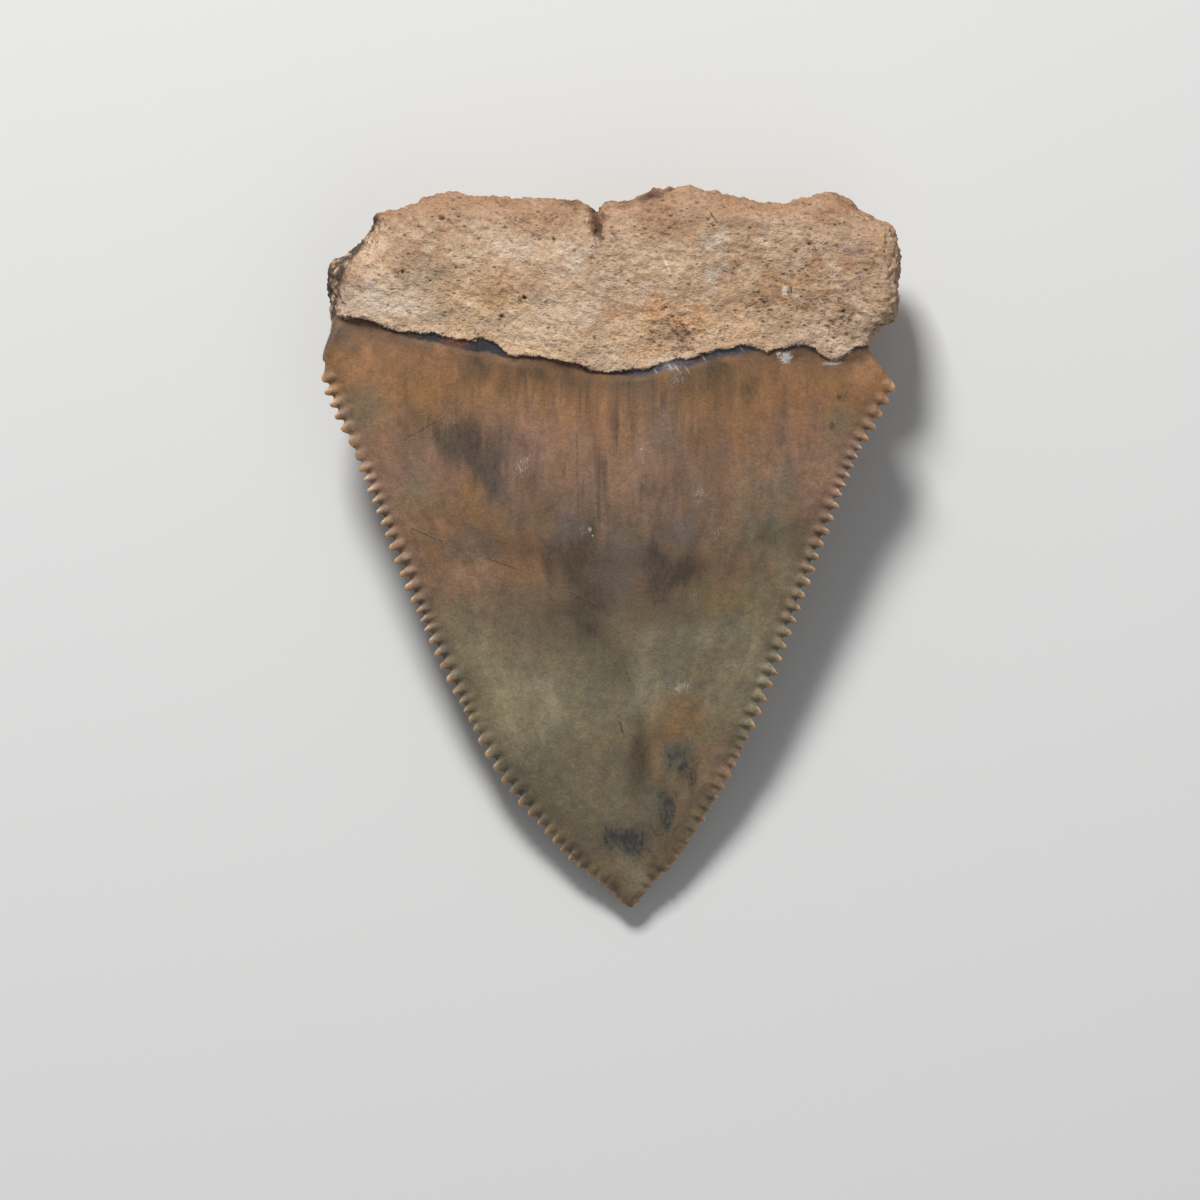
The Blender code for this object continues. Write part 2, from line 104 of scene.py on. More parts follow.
def curveThrough(points, step=0.1):  # Catmull-Rom, sampled about every step
    ends = [points[0], *points, points[-1]]
    line = []
    for p0, p1, p2, p3 in zip(ends, ends[1:], ends[2:], ends[3:]):
        p0, p1, p2, p3 = (Vector(p) for p in (p0, p1, p2, p3))
        count = max(2, round((p2 - p1).length / step))
        for k in range(count):
            t = k / count
            line.append(0.5 * (2 * p1 + (p2 - p0) * t + (2 * p0 - 5 * p1 + 4 * p2 - p3) * t * t
                               + (3 * p1 - p0 - 3 * p2 + p3) * t**3))
    return [*line, Vector(points[-1])]


def readCurve(points, at):  # the curve through (position, value) pairs, read at an array
    line = curveThrough(points)
    return np.interp(at, [p.x for p in line], [p.y for p in line])


def noiseAt(places, size, stretch=(1, 1, 1), octaves=2, shift=0.0):  # about -1 to 1
    scaled = places / (size * np.array(stretch)) + shift
    return np.array([noise.fractal(place, 1.0, 2.0, octaves) for place in scaled.tolist()])


serrations = {
    # from the shoulder to the tip, as (how many, spacing, height)
    "left": [(5, 0.98, 0.40), (2, 1.15, 0.24), (7, 0.90, 0.46), (5, 1.08, 0.58), (3, 0.76, 0.38),
             (5, 1.05, 0.50), (4, 0.74, 0.26), (7, 1.08, 0.42), (5, 0.90, 0.28), (3, 0.88, 0.22),
             (2, 0.85, 0.16)],
    "right": [(1, 0.90, 0.30), (4, 1.02, 0.54), (6, 0.76, 0.34), (6, 0.98, 0.54),
              (6, 1.02, 0.58), (6, 1.10, 0.60), (4, 0.76, 0.36), (5, 0.92, 0.36),
              (4, 1.00, 0.30), (2, 0.85, 0.24), (2, 0.80, 0.18)],
    "spread": 0.12,         # how much spacing and height vary from one to the next
    "plainTip": 1.1,        # the last stretch before the tip has none
    "crest": 0.52,          # where a serration stands highest, as a share of its spacing
    # each is a peg of enamel, which narrows outwards (1) and inwards (-1): past these shares of
    # its half length it is resized by these factors
    "taper": [(1, 0.0, 0.88), (1, 0.35, 0.80), (1, 0.65, 0.72), (-1, 0.2, 0.85), (-1, 0.6, 0.80)],
    "width": 0.38,          # half the width of a peg, as a share of its spacing
    "reach": 0.78,          # half the length of the largest pegs, across the edge
    "thickness": 0.33,      # half the thickness of the largest pegs
    "uneven": 0.42,         # how much the pegs' shapes vary besides
    "fullHeight": 0.55,     # how far the largest pegs stand out
    "smallest": 0.42,       # the size of a peg that hardly stands out, as a share of the largest
    "proud": (0.03, 0.04),  # how far the pegs are moved outwards and up
    "lean": (0.12, 0.4),    # radians they lean towards the tip, and how much that varies
    "tilt": 0.16,           # radians: the inner end lies higher, level with the face
    "groove": 0.20,         # how deep the grooves between the largest pegs are
    "shallowest": 0.25,     # and between the smallest, as a share of that
    "widestGap": 1.6,       # pegs further apart than this many spacings have no groove between
    "grooveWidth": 0.17,    # half their width
    "grooveLength": 0.50,   # half their length
    "grooveInset": 0.15,    # how far inside the edge they are deepest
    "grooveEnd": 1.6,       # how far from the edge nothing is left of them
}


def serrationPlaces(edge, runs, outward, seed):  # (point, direction out, spacing, height) of each
    line = curveThrough(edge)
    lengths = [0.0]
    for a, b in zip(line, line[1:]):
        lengths.append(lengths[-1] + (b - a).length)
    noise.seed_set(seed)
    spread = serrations["spread"]
    near = 6  # points of the line each way that give its direction
    sizes = [(spacing * (1 + spread * (2 * noise.random() - 1)),
              height * (1 + 2 * spread * (2 * noise.random() - 1)))
             for count, spacing, height in runs for _ in range(count)]
    fit = (lengths[-1] - serrations["plainTip"]) / sum(spacing for spacing, _ in sizes)
    places = []
    start = 0.0
    for spacing, height in sizes:
        spacing *= fit
        at = start + serrations["crest"] * spacing
        i = next(k for k in range(len(line) - 1) if lengths[k + 1] >= at)
        ahead = (line[min(i + near, len(line) - 1)] - line[max(i - near, 0)]).normalized()
        share = (at - lengths[i]) / (lengths[i + 1] - lengths[i])
        out = outward * Vector((-ahead.y, ahead.x))
        places.append((line[i].lerp(line[i + 1], share), out, spacing, height))
        start += spacing
    return places


def makePeg():  # one serration, which narrows to a blunt point at +X
    bpy.ops.mesh.primitive_ico_sphere_add(subdivisions=3, radius=1.0)
    peg = bpy.context.object
    for side, start, size in serrations["taper"]:
        for vertex in peg.data.vertices:
            vertex.select = side * vertex.co.x > start
        bpy.ops.object.mode_set(mode="EDIT")
        bpy.ops.transform.resize(value=(1.0, size, size), center_override=(0.0, 0.0, 0.0))
        bpy.ops.mesh.select_all(action="DESELECT")
        bpy.ops.object.mode_set(mode="OBJECT")
    return peg


def addPegs(body):
    peg = makePeg()
    both = [*serrationPlaces(tooth["leftEdge"], serrations["left"], -1, 3),
            *serrationPlaces(tooth["rightEdge"], serrations["right"], 1, 8)]
    smallest = serrations["smallest"]
    outwards, up = serrations["proud"]
    lean, leanSpread = serrations["lean"]
    copies = []
    for point, out, spacing, height in both:
        size = smallest + (1 - smallest) * height / serrations["fullHeight"]
        wobble = [1 + serrations["uneven"] * (noise.random() - 0.5) for _ in range(3)]
        reach = serrations["reach"] * size * wobble[0]
        middle = point + (0.5 * height - reach + outwards) * out
        z = float(readCurve(tooth["edgeHeight"], point.y)) + up
        turn = (math.atan2(out.y, out.x) - math.copysign(lean, out.x)
                + leanSpread * (noise.random() - 0.5))
        scale = Matrix.Diagonal((reach, serrations["width"] * spacing * wobble[1],
                                 serrations["thickness"] * size * wobble[2], 1.0))
        tilt = Matrix.Rotation(serrations["tilt"], 4, "Y")
        one = peg.copy()
        one.data = peg.data.copy()
        one.matrix_world = (Matrix.Translation((middle.x, middle.y, z))
                            @ Matrix.Rotation(turn, 4, "Z") @ tilt @ scale)
        bpy.context.collection.objects.link(one)
        copies.append(one)
    bpy.data.objects.remove(peg)
    selectOnly(body, *copies)
    bpy.ops.object.join()
    print(len(both), "serrations")
    return both


def startBody():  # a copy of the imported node, in mm, merged and rounded
    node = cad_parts["shark_tooth"]
    body = bpy.data.objects.new("fossilTooth", node.data.copy())
    bpy.context.scene.collection.objects.link(body)
    body.data.materials.clear()
    body.scale = (1 / mm,) * 3
    selectOnly(body)
    bpy.ops.object.transform_apply(location=False, rotation=False, scale=True)
    bpy.ops.object.mode_set(mode="EDIT")
    bpy.ops.mesh.select_all(action="SELECT")
    bpy.ops.mesh.remove_doubles(threshold=0.001)
    bpy.ops.mesh.select_all(action="DESELECT")
    bpy.ops.object.mode_set(mode="OBJECT")
    applyModifier(body, "SUBSURF", levels=2, render_levels=2)
    start, middle, narrow = tooth["narrowTip"]
    tip = min(vertex.co.y for vertex in body.data.vertices)
    for vertex in body.data.vertices:
        share = float(smoothstep((start - vertex.co.y) / (start - tip)))
        vertex.co.x = middle + (vertex.co.x - middle) * (1 - (1 - narrow) * share)
    return body


def readPoints(body, what="co"):
    found = np.empty(len(body.data.vertices) * 3)
    body.data.vertices.foreach_get(what, found)
    return found.reshape(-1, 3)


def edgeDistance(places):  # inwards from the middle of the serrations, in plan
    line, outs = [], []
    for edge, outward in (("leftEdge", -1), ("rightEdge", 1)):
        points = curveThrough(tooth[edge])
        for a, b in zip(points, points[1:]):
            ahead = (b - a).normalized()
            line.append(a)
            outs.append(outward * Vector((-ahead.y, ahead.x)))
    tree = kdtree.KDTree(len(line))
    for i, p in enumerate(line):
        tree.insert((p.x, p.y, 0.0), i)
    tree.balance()
    distance = np.empty(len(places))
    for k, (x, y, _) in enumerate(places.tolist()):
        near, i, gap = tree.find((x, y, 0.0))
        outside = (x - near.x) * outs[i].x + (y - near.y) * outs[i].y > 0
        distance[k] = -gap if outside else gap
    return distance


def grooveShare(places, edge, pegs):  # 1 in the middle of a groove between two pegs
    gaps = []
    for (a, outA, spacing, high), (b, outB, _, _) in zip(pegs, pegs[1:]):
        if (b - a).length < serrations["widestGap"] * spacing:
            depth = min(1.0, serrations["shallowest"] + 0.85 * high / serrations["fullHeight"])
            gaps.append(((a + b) / 2, (outA + outB).normalized(), depth))
    tree = kdtree.KDTree(len(gaps))
    for i, (middle, _, _) in enumerate(gaps):
        tree.insert((middle.x, middle.y, 0.0), i)
    tree.balance()
    share = np.zeros(len(places))
    for k in np.flatnonzero(np.abs(edge) < serrations["grooveEnd"]).tolist():
        x, y = places[k, :2]
        near, i, _ = tree.find((x, y, 0.0))
        _, out, depth = gaps[i]
        away = Vector((x - near.x, y - near.y))
        across = (away.x * out.y - away.y * out.x) / serrations["grooveWidth"]
        along = (away.dot(out) + serrations["grooveInset"]) / serrations["grooveLength"]
        share[k] = depth * math.exp(-across * across - along * along)
    return share


def outerShare(places):  # 1 on the flat outer face, 0 on the domed inner face
    drop, fade = tooth["turnsUnder"]
    middle = readCurve(tooth["edgeHeight"], places[:, 1]) - drop
    return smoothstep((places[:, 2] - middle) / fade)


def neckDistance(places, outer):  # past the enamel's ragged end, towards the root
    ragged = readCurve(tooth["raggedNeck"], places[:, 0])
    smooth = readCurve(tooth["innerNeck"], places[:, 0])
    jag = sum(depth * noiseAt(places, size, (1, 1, 3)) for size, depth in tooth["neckJags"])
    return places[:, 1] - outer * ragged - (1 - outer) * smooth + jag * (1 + 2 * (1 - outer))


def brokenShare(places):  # 1 on the slope where the left end of the root broke away
    line = readCurve(tooth["breakLine"], places[:, 1])
    low, high = tooth["breakLine"][0][0] - 0.2, tooth["breakLine"][-1][0] + 0.2
    inside = (places[:, 1] > low) & (places[:, 1] < high)
    return inside * smoothstep((line - places[:, 0] + 0.1) / 0.3)


def addGroup(body, name, weights, levels=20):
    group = body.vertex_groups.new(name=name)
    steps = np.round(np.clip(weights, 0, 1) * levels).astype(int)
    for level in range(1, levels + 1):
        chosen = np.flatnonzero(steps == level)
        if len(chosen):
            group.add(chosen.tolist(), level / levels, "REPLACE")


bodyForm = {
    "voxel": 0.09,
    "evenAll": 2,          # rounds of smoothing everywhere, which only softens the voxels
    "evenCrown": 60,       # and on the enamel away from the serrations
    "serrated": 0.8,       # how far in from the edge the serrations reach
    "shoulder": 12.0,      # above this y there are none
    "shoulderHalf": 20.0,  # and there the enamel is evened out to this x
    "triangles": 196000,
}


def evenedShare(places):  # 1 on the enamel away from the serrations and the neck
    outer = outerShare(places)
    inside = smoothstep((edgeDistance(places) - bodyForm["serrated"]) / 0.7)
    above = places[:, 1] > bodyForm["shoulder"]
    inside[above] = smoothstep(bodyForm["shoulderHalf"] - np.abs(places[above, 0]))
    return inside * smoothstep((1.4 * outer - 0.4 - neckDistance(places, outer)) / 0.8)


crownRelief = {
    "hollow": (1.0, 0.35, 0.03),  # along the edges: how far in, half its width, and its depth
    "ripples": (0.55, 0.02),      # wavelength and height, where they are strongest
    "rippleReach": 14.0,          # how far below the neck they have faded out
    "rippleStretch": (1, 14, 9),  # along x, y and z
}

rootRelief = {
    "lumps": (3.4, 0.12),        # wavelength and height
    "knobs": (1.1, 0.08),
    "grain": (0.45, 0.11),
    "crumbs": (0.28, 0.07),
    "rougher": 0.8,              # how much rougher its sides are, and the broken left end
    "grainTurn": -24.0,          # degrees: it runs from upper left to lower right
    "grainStretch": 2.0,
    "solidStep": 0.35,           # how far the solid's root stands above its enamel
    "step": 0.10,                # and the finished one
    "lip": 0.04,
    "underLip": 0.12,            # the same on the inner face
    "strip": 0.02,               # how far the dark strip lies below the enamel
    # the larger vessel openings on the flat face, as (x, y, radius, how long for their width)
    "pits": [(-13.8, 23.1, 0.20, 1.2), (-12.1, 23.7, 0.26, 1.6), (-7.5, 23.0, 0.22, 1.6),
             (-6.8, 23.5, 0.17, 1.2), (-4.1, 22.2, 0.20, 1.2), (-12.4, 22.1, 0.16, 1.8),
             (-14.9, 19.8, 0.26, 1.0), (-13.1, 20.3, 0.16, 1.0), (-12.9, 19.2, 0.20, 1.0),
             (-11.1, 20.1, 0.18, 1.0), (-6.2, 18.0, 0.24, 1.4), (-5.8, 20.3, 0.15, 1.2),
             (-4.1, 19.5, 0.15, 1.0), (-7.8, 16.6, 0.20, 2.4), (-1.1, 15.0, 0.17, 1.2),
             (-3.0, 15.8, 0.15, 1.2), (-16.0, 17.4, 0.17, 1.0), (-9.5, 18.1, 0.16, 1.3),
             (-17.1, 19.2, 0.15, 1.2), (-8.4, 17.4, 0.15, 1.0), (0.2, 22.5, 0.18, 2.2),
             (1.2, 22.2, 0.13, 1.4), (2.9, 22.3, 0.16, 1.8), (1.9, 20.2, 0.17, 1.6),
             (6.5, 18.7, 0.18, 1.0), (3.3, 18.5, 0.13, 1.0), (8.4, 21.2, 0.17, 1.4),
             (3.7, 23.2, 0.14, 1.6), (6.2, 24.7, 0.16, 1.0), (15.5, 25.2, 0.17, 1.8),
             (14.3, 21.8, 0.22, 1.4), (13.6, 21.1, 0.18, 1.4), (19.7, 21.3, 0.20, 1.0),
             (18.1, 18.9, 0.16, 1.2), (16.7, 17.0, 0.22, 1.0), (11.0, 17.6, 0.22, 1.5),
             (9.9, 16.9, 0.20, 1.6), (4.5, 16.6, 0.18, 1.2), (3.0, 15.4, 0.22, 1.4),
             (12.7, 18.3, 0.22, 1.0), (15.0, 16.2, 0.24, 1.0)],
    # how many small ones there are, their least radius and how much larger some are
    "smallPits": (240, 0.07, 0.09),
}


def turned(vectors, degrees):  # in plan
    c, s = math.cos(math.radians(degrees)), math.sin(math.radians(degrees))
    x, y = vectors[:, 0], vectors[:, 1]
    return np.column_stack([c * x - s * y, s * x + c * y, vectors[:, 2]])


def pitDepths(places, out, root):  # how deep the vessel openings are at each point
    depth = np.zeros(len(places))
    noise.seed_set(11)
    upper = np.flatnonzero(out[:, 2] > 0.4)
    pits = []
    for x, y, radius, longer in rootRelief["pits"]:
        gaps = (places[upper, 0] - x) ** 2 + (places[upper, 1] - y) ** 2
        pits.append((places[upper[gaps.argmin()]], 0.75 * radius, longer))
    anywhere = np.flatnonzero(root > 0.9)
    count, least, more = rootRelief["smallPits"]
    for _ in range(count):
        place = places[anywhere[int(noise.random() * len(anywhere))]]
        pits.append((place, least + more * noise.random() ** 3, 1.0 + noise.random()))
    for place, radius, longer in pits:
        near = np.flatnonzero(np.abs(places - place).max(axis=1) < 1.2 * radius * longer)
        away = turned(places[near] - place, -rootRelief["grainTurn"])
        away[:, 0] /= longer
        share = 1 - np.linalg.norm(away, axis=1) / radius + 0.5 * noiseAt(places[near], 0.16)
        depth[near] = np.maximum(depth[near], 1.1 * radius * smoothstep(share * 1.1))
    return depth


def addAttribute(body, name, values):  # a number or a colour at each point
    if values.ndim == 1:
        attribute = body.data.attributes.new(name, "FLOAT", "POINT")
        attribute.data.foreach_set("value", values.astype(np.float32))
        return
    attribute = body.data.attributes.new(name, "FLOAT_COLOR", "POINT")
    whole = np.column_stack([values, np.ones(len(values))])
    attribute.data.foreach_set("color", whole.astype(np.float32).ravel())


def rootPush(places):  # lumps, knobs and grain of the worn root, along the normals
    relief = rootRelief
    size, height = relief["lumps"]
    push = height * noiseAt(places, size, shift=3.1)
    size, height = relief["knobs"]
    push += height * noiseAt(places, size, octaves=2, shift=7.7)
    size, height = relief["grain"]
    along = turned(places, -relief["grainTurn"])
    stretch = (relief["grainStretch"], 1, 1)
    push += height * noiseAt(along, size, stretch, octaves=2, shift=1.3)
    size, height = relief["crumbs"]
    return push + height * noiseAt(places, size, octaves=1, shift=5.9)


def neckLift(places, out, outer, neck):  # the root ends in a ragged lip over the dark strip
    relief = rootRelief
    plainNeck = places[:, 1] - readCurve(tooth["neck"], places[:, 0])
    old = smoothstep(plainNeck / 1.7 + 0.5) * np.exp(-np.maximum(plainNeck, 0) / 2.5)
    new = smoothstep(neck / 0.2 + 0.5) * np.exp(-np.maximum(neck, 0) / 2.5)
    lift = relief["step"] * new - relief["solidStep"] * old
    lift += relief["lip"] * np.exp(-((neck - 0.2) / 0.22) ** 2)
    strip = readCurve(tooth["stripWidth"], places[:, 0])
    lift -= relief["strip"] * smoothstep((neck + strip) / 0.4 + 0.5) * smoothstep(0.5 - neck / 0.3)
    flat = outer * smoothstep(out[:, 2] / 0.5 - 0.6)
    under = (1 - outer) * smoothstep(-out[:, 2] / 0.5 - 0.6)
    return flat * lift + under * relief["underLip"] * np.exp(-((neck + 0.1) / 0.22) ** 2)


def sculpt(body, pegs):
    places, out = readPoints(body), readPoints(body, "normal")
    outer = outerShare(places)
    neck = neckDistance(places, outer)
    edge = edgeDistance(places)
    root = smoothstep((neck + 0.05) / 0.4)
    push = np.zeros(len(places))
    rooted = np.flatnonzero(root > 0)
    side = smoothstep((0.8 - np.abs(out[rooted, 2])) / 0.5)
    rougher = 1 + rootRelief["rougher"] * np.maximum(side, brokenShare(places[rooted]))
    push[rooted] = root[rooted] * rougher * rootPush(places[rooted])
    pits = pitDepths(places, out, root)
    addAttribute(body, "pit", pits)
    push -= pits
    # grooves part the serrations, and a shallow hollow runs along the enamel just inside them
    push -= serrations["groove"] * grooveShare(places, edge, pegs)
    inset, width, depth = crownRelief["hollow"]
    push -= (1 - root) * depth * np.exp(-((edge - inset) / width) ** 2)
    # and faint ripples run down it from the neck
    reach = crownRelief["rippleReach"]
    size, height = crownRelief["ripples"]
    rippled = np.flatnonzero((out[:, 2] > 0.5) & (neck < 0) & (neck > -reach))
    fade = smoothstep((reach + neck[rippled]) / 8) * smoothstep(edge[rippled] / 3 - 0.5)
    push[rippled] += height * fade * noiseAt(places[rippled], size, crownRelief["rippleStretch"])
    places += out * push[:, None]
    places[:, 2] += neckLift(places, out, outer, neck)
    places[:, 2] = np.maximum(places[:, 2], 0.01)  # nothing sinks into the table
    body.data.vertices.foreach_set("co", places.ravel())
    body.data.update()


body = startBody()
pegs = addPegs(body)
applyModifier(body, "REMESH", mode="VOXEL", voxel_size=bodyForm["voxel"])
print("remeshed:", len(body.data.vertices), "points")
applyModifier(body, "SMOOTH", factor=0.5, iterations=bodyForm["evenAll"])
addGroup(body, "crown", evenedShare(readPoints(body)))
applyModifier(body, "SMOOTH", factor=0.5, iterations=bodyForm["evenCrown"], vertex_group="crown")
sculpt(body, pegs)
print("sculpted")
applyModifier(body, "DECIMATE", ratio=bodyForm["triangles"] / (2 * len(body.data.polygons)))
print("thinned:", len(body.data.polygons), "faces")


def linear(hexColour):  # an sRGB hex colour as the linear values that the shaders take
    parts = [int(hexColour[i:i + 2], 16) / 255 for i in (1, 3, 5)]
    return (*[c / 12.92 if c <= 0.04045 else ((c + 0.055) / 1.055) ** 2.4 for c in parts], 1.0)


palette = {
    # enamel
    "amber": "#8B6339", "orange": "#9C6F4A", "brown": "#644A34", "greyBrown": "#54453A",
    "midBrown": "#6F5943", "khaki": "#7A694D", "yellowKhaki": "#736442", "olive": "#6B604A",
    "paleOlive": "#95896A", "grey": "#645B52", "ashGrey": "#766C53", "pink": "#8C6C57",
    # slate is a stain near the tip, and also paints shade just inside the serrations
    "rose": "#94705E", "mauve": "#6E5F58", "slate": "#2B3133", "umber": "#33291D",
    # on the serrations, a tan lightened as painted highlight and a paler painted highlight; a
    # whitish colour for painted glints on scratches
    "tan": "#8A6C49", "sandy": "#A07C60", "tipBrown": "#5F472E", "pegTanAndHighlight": "#C4986E",
    "pegHighlight": "#E0C6A4", "frostAndGlint": "#BDB8B0", "mist": "#66675B", "darkOlive": "#514833",
    # the dark strip under the root
    "stripBrown": "#4E372C", "rust": "#6B4534", "blueBlack": "#2F2D33", "slatePurple": "#544E54",
    "slateBlue": "#4B4A52",
    # dentine
    "cream": "#D3B698", "sand": "#BC9A7A", "ochre": "#CEA16A", "apricot": "#E0A871",
    "bleached": "#DDCDBB", "greenGrey": "#A1947C", "clay": "#9C7455", "rootBrown": "#70503A",
    "darkBrown": "#4A3427", "violetGrey": "#A39491", "orangeBrown": "#A87549",
    "pitBrown": "#3A291F", "ledge": "#41352C",
}

enamelBands = [  # the colour at each y, from the tip to the root, before any stain
    (-26.0, "tipBrown"), (-23.0, "khaki"), (-18.0, "olive"), (-12.0, "ashGrey"), (-7.0, "olive"),
    (-3.0, "midBrown"), (1.5, "midBrown"), (6.5, "pink"), (11.0, "amber"), (15.0, "brown"),
]

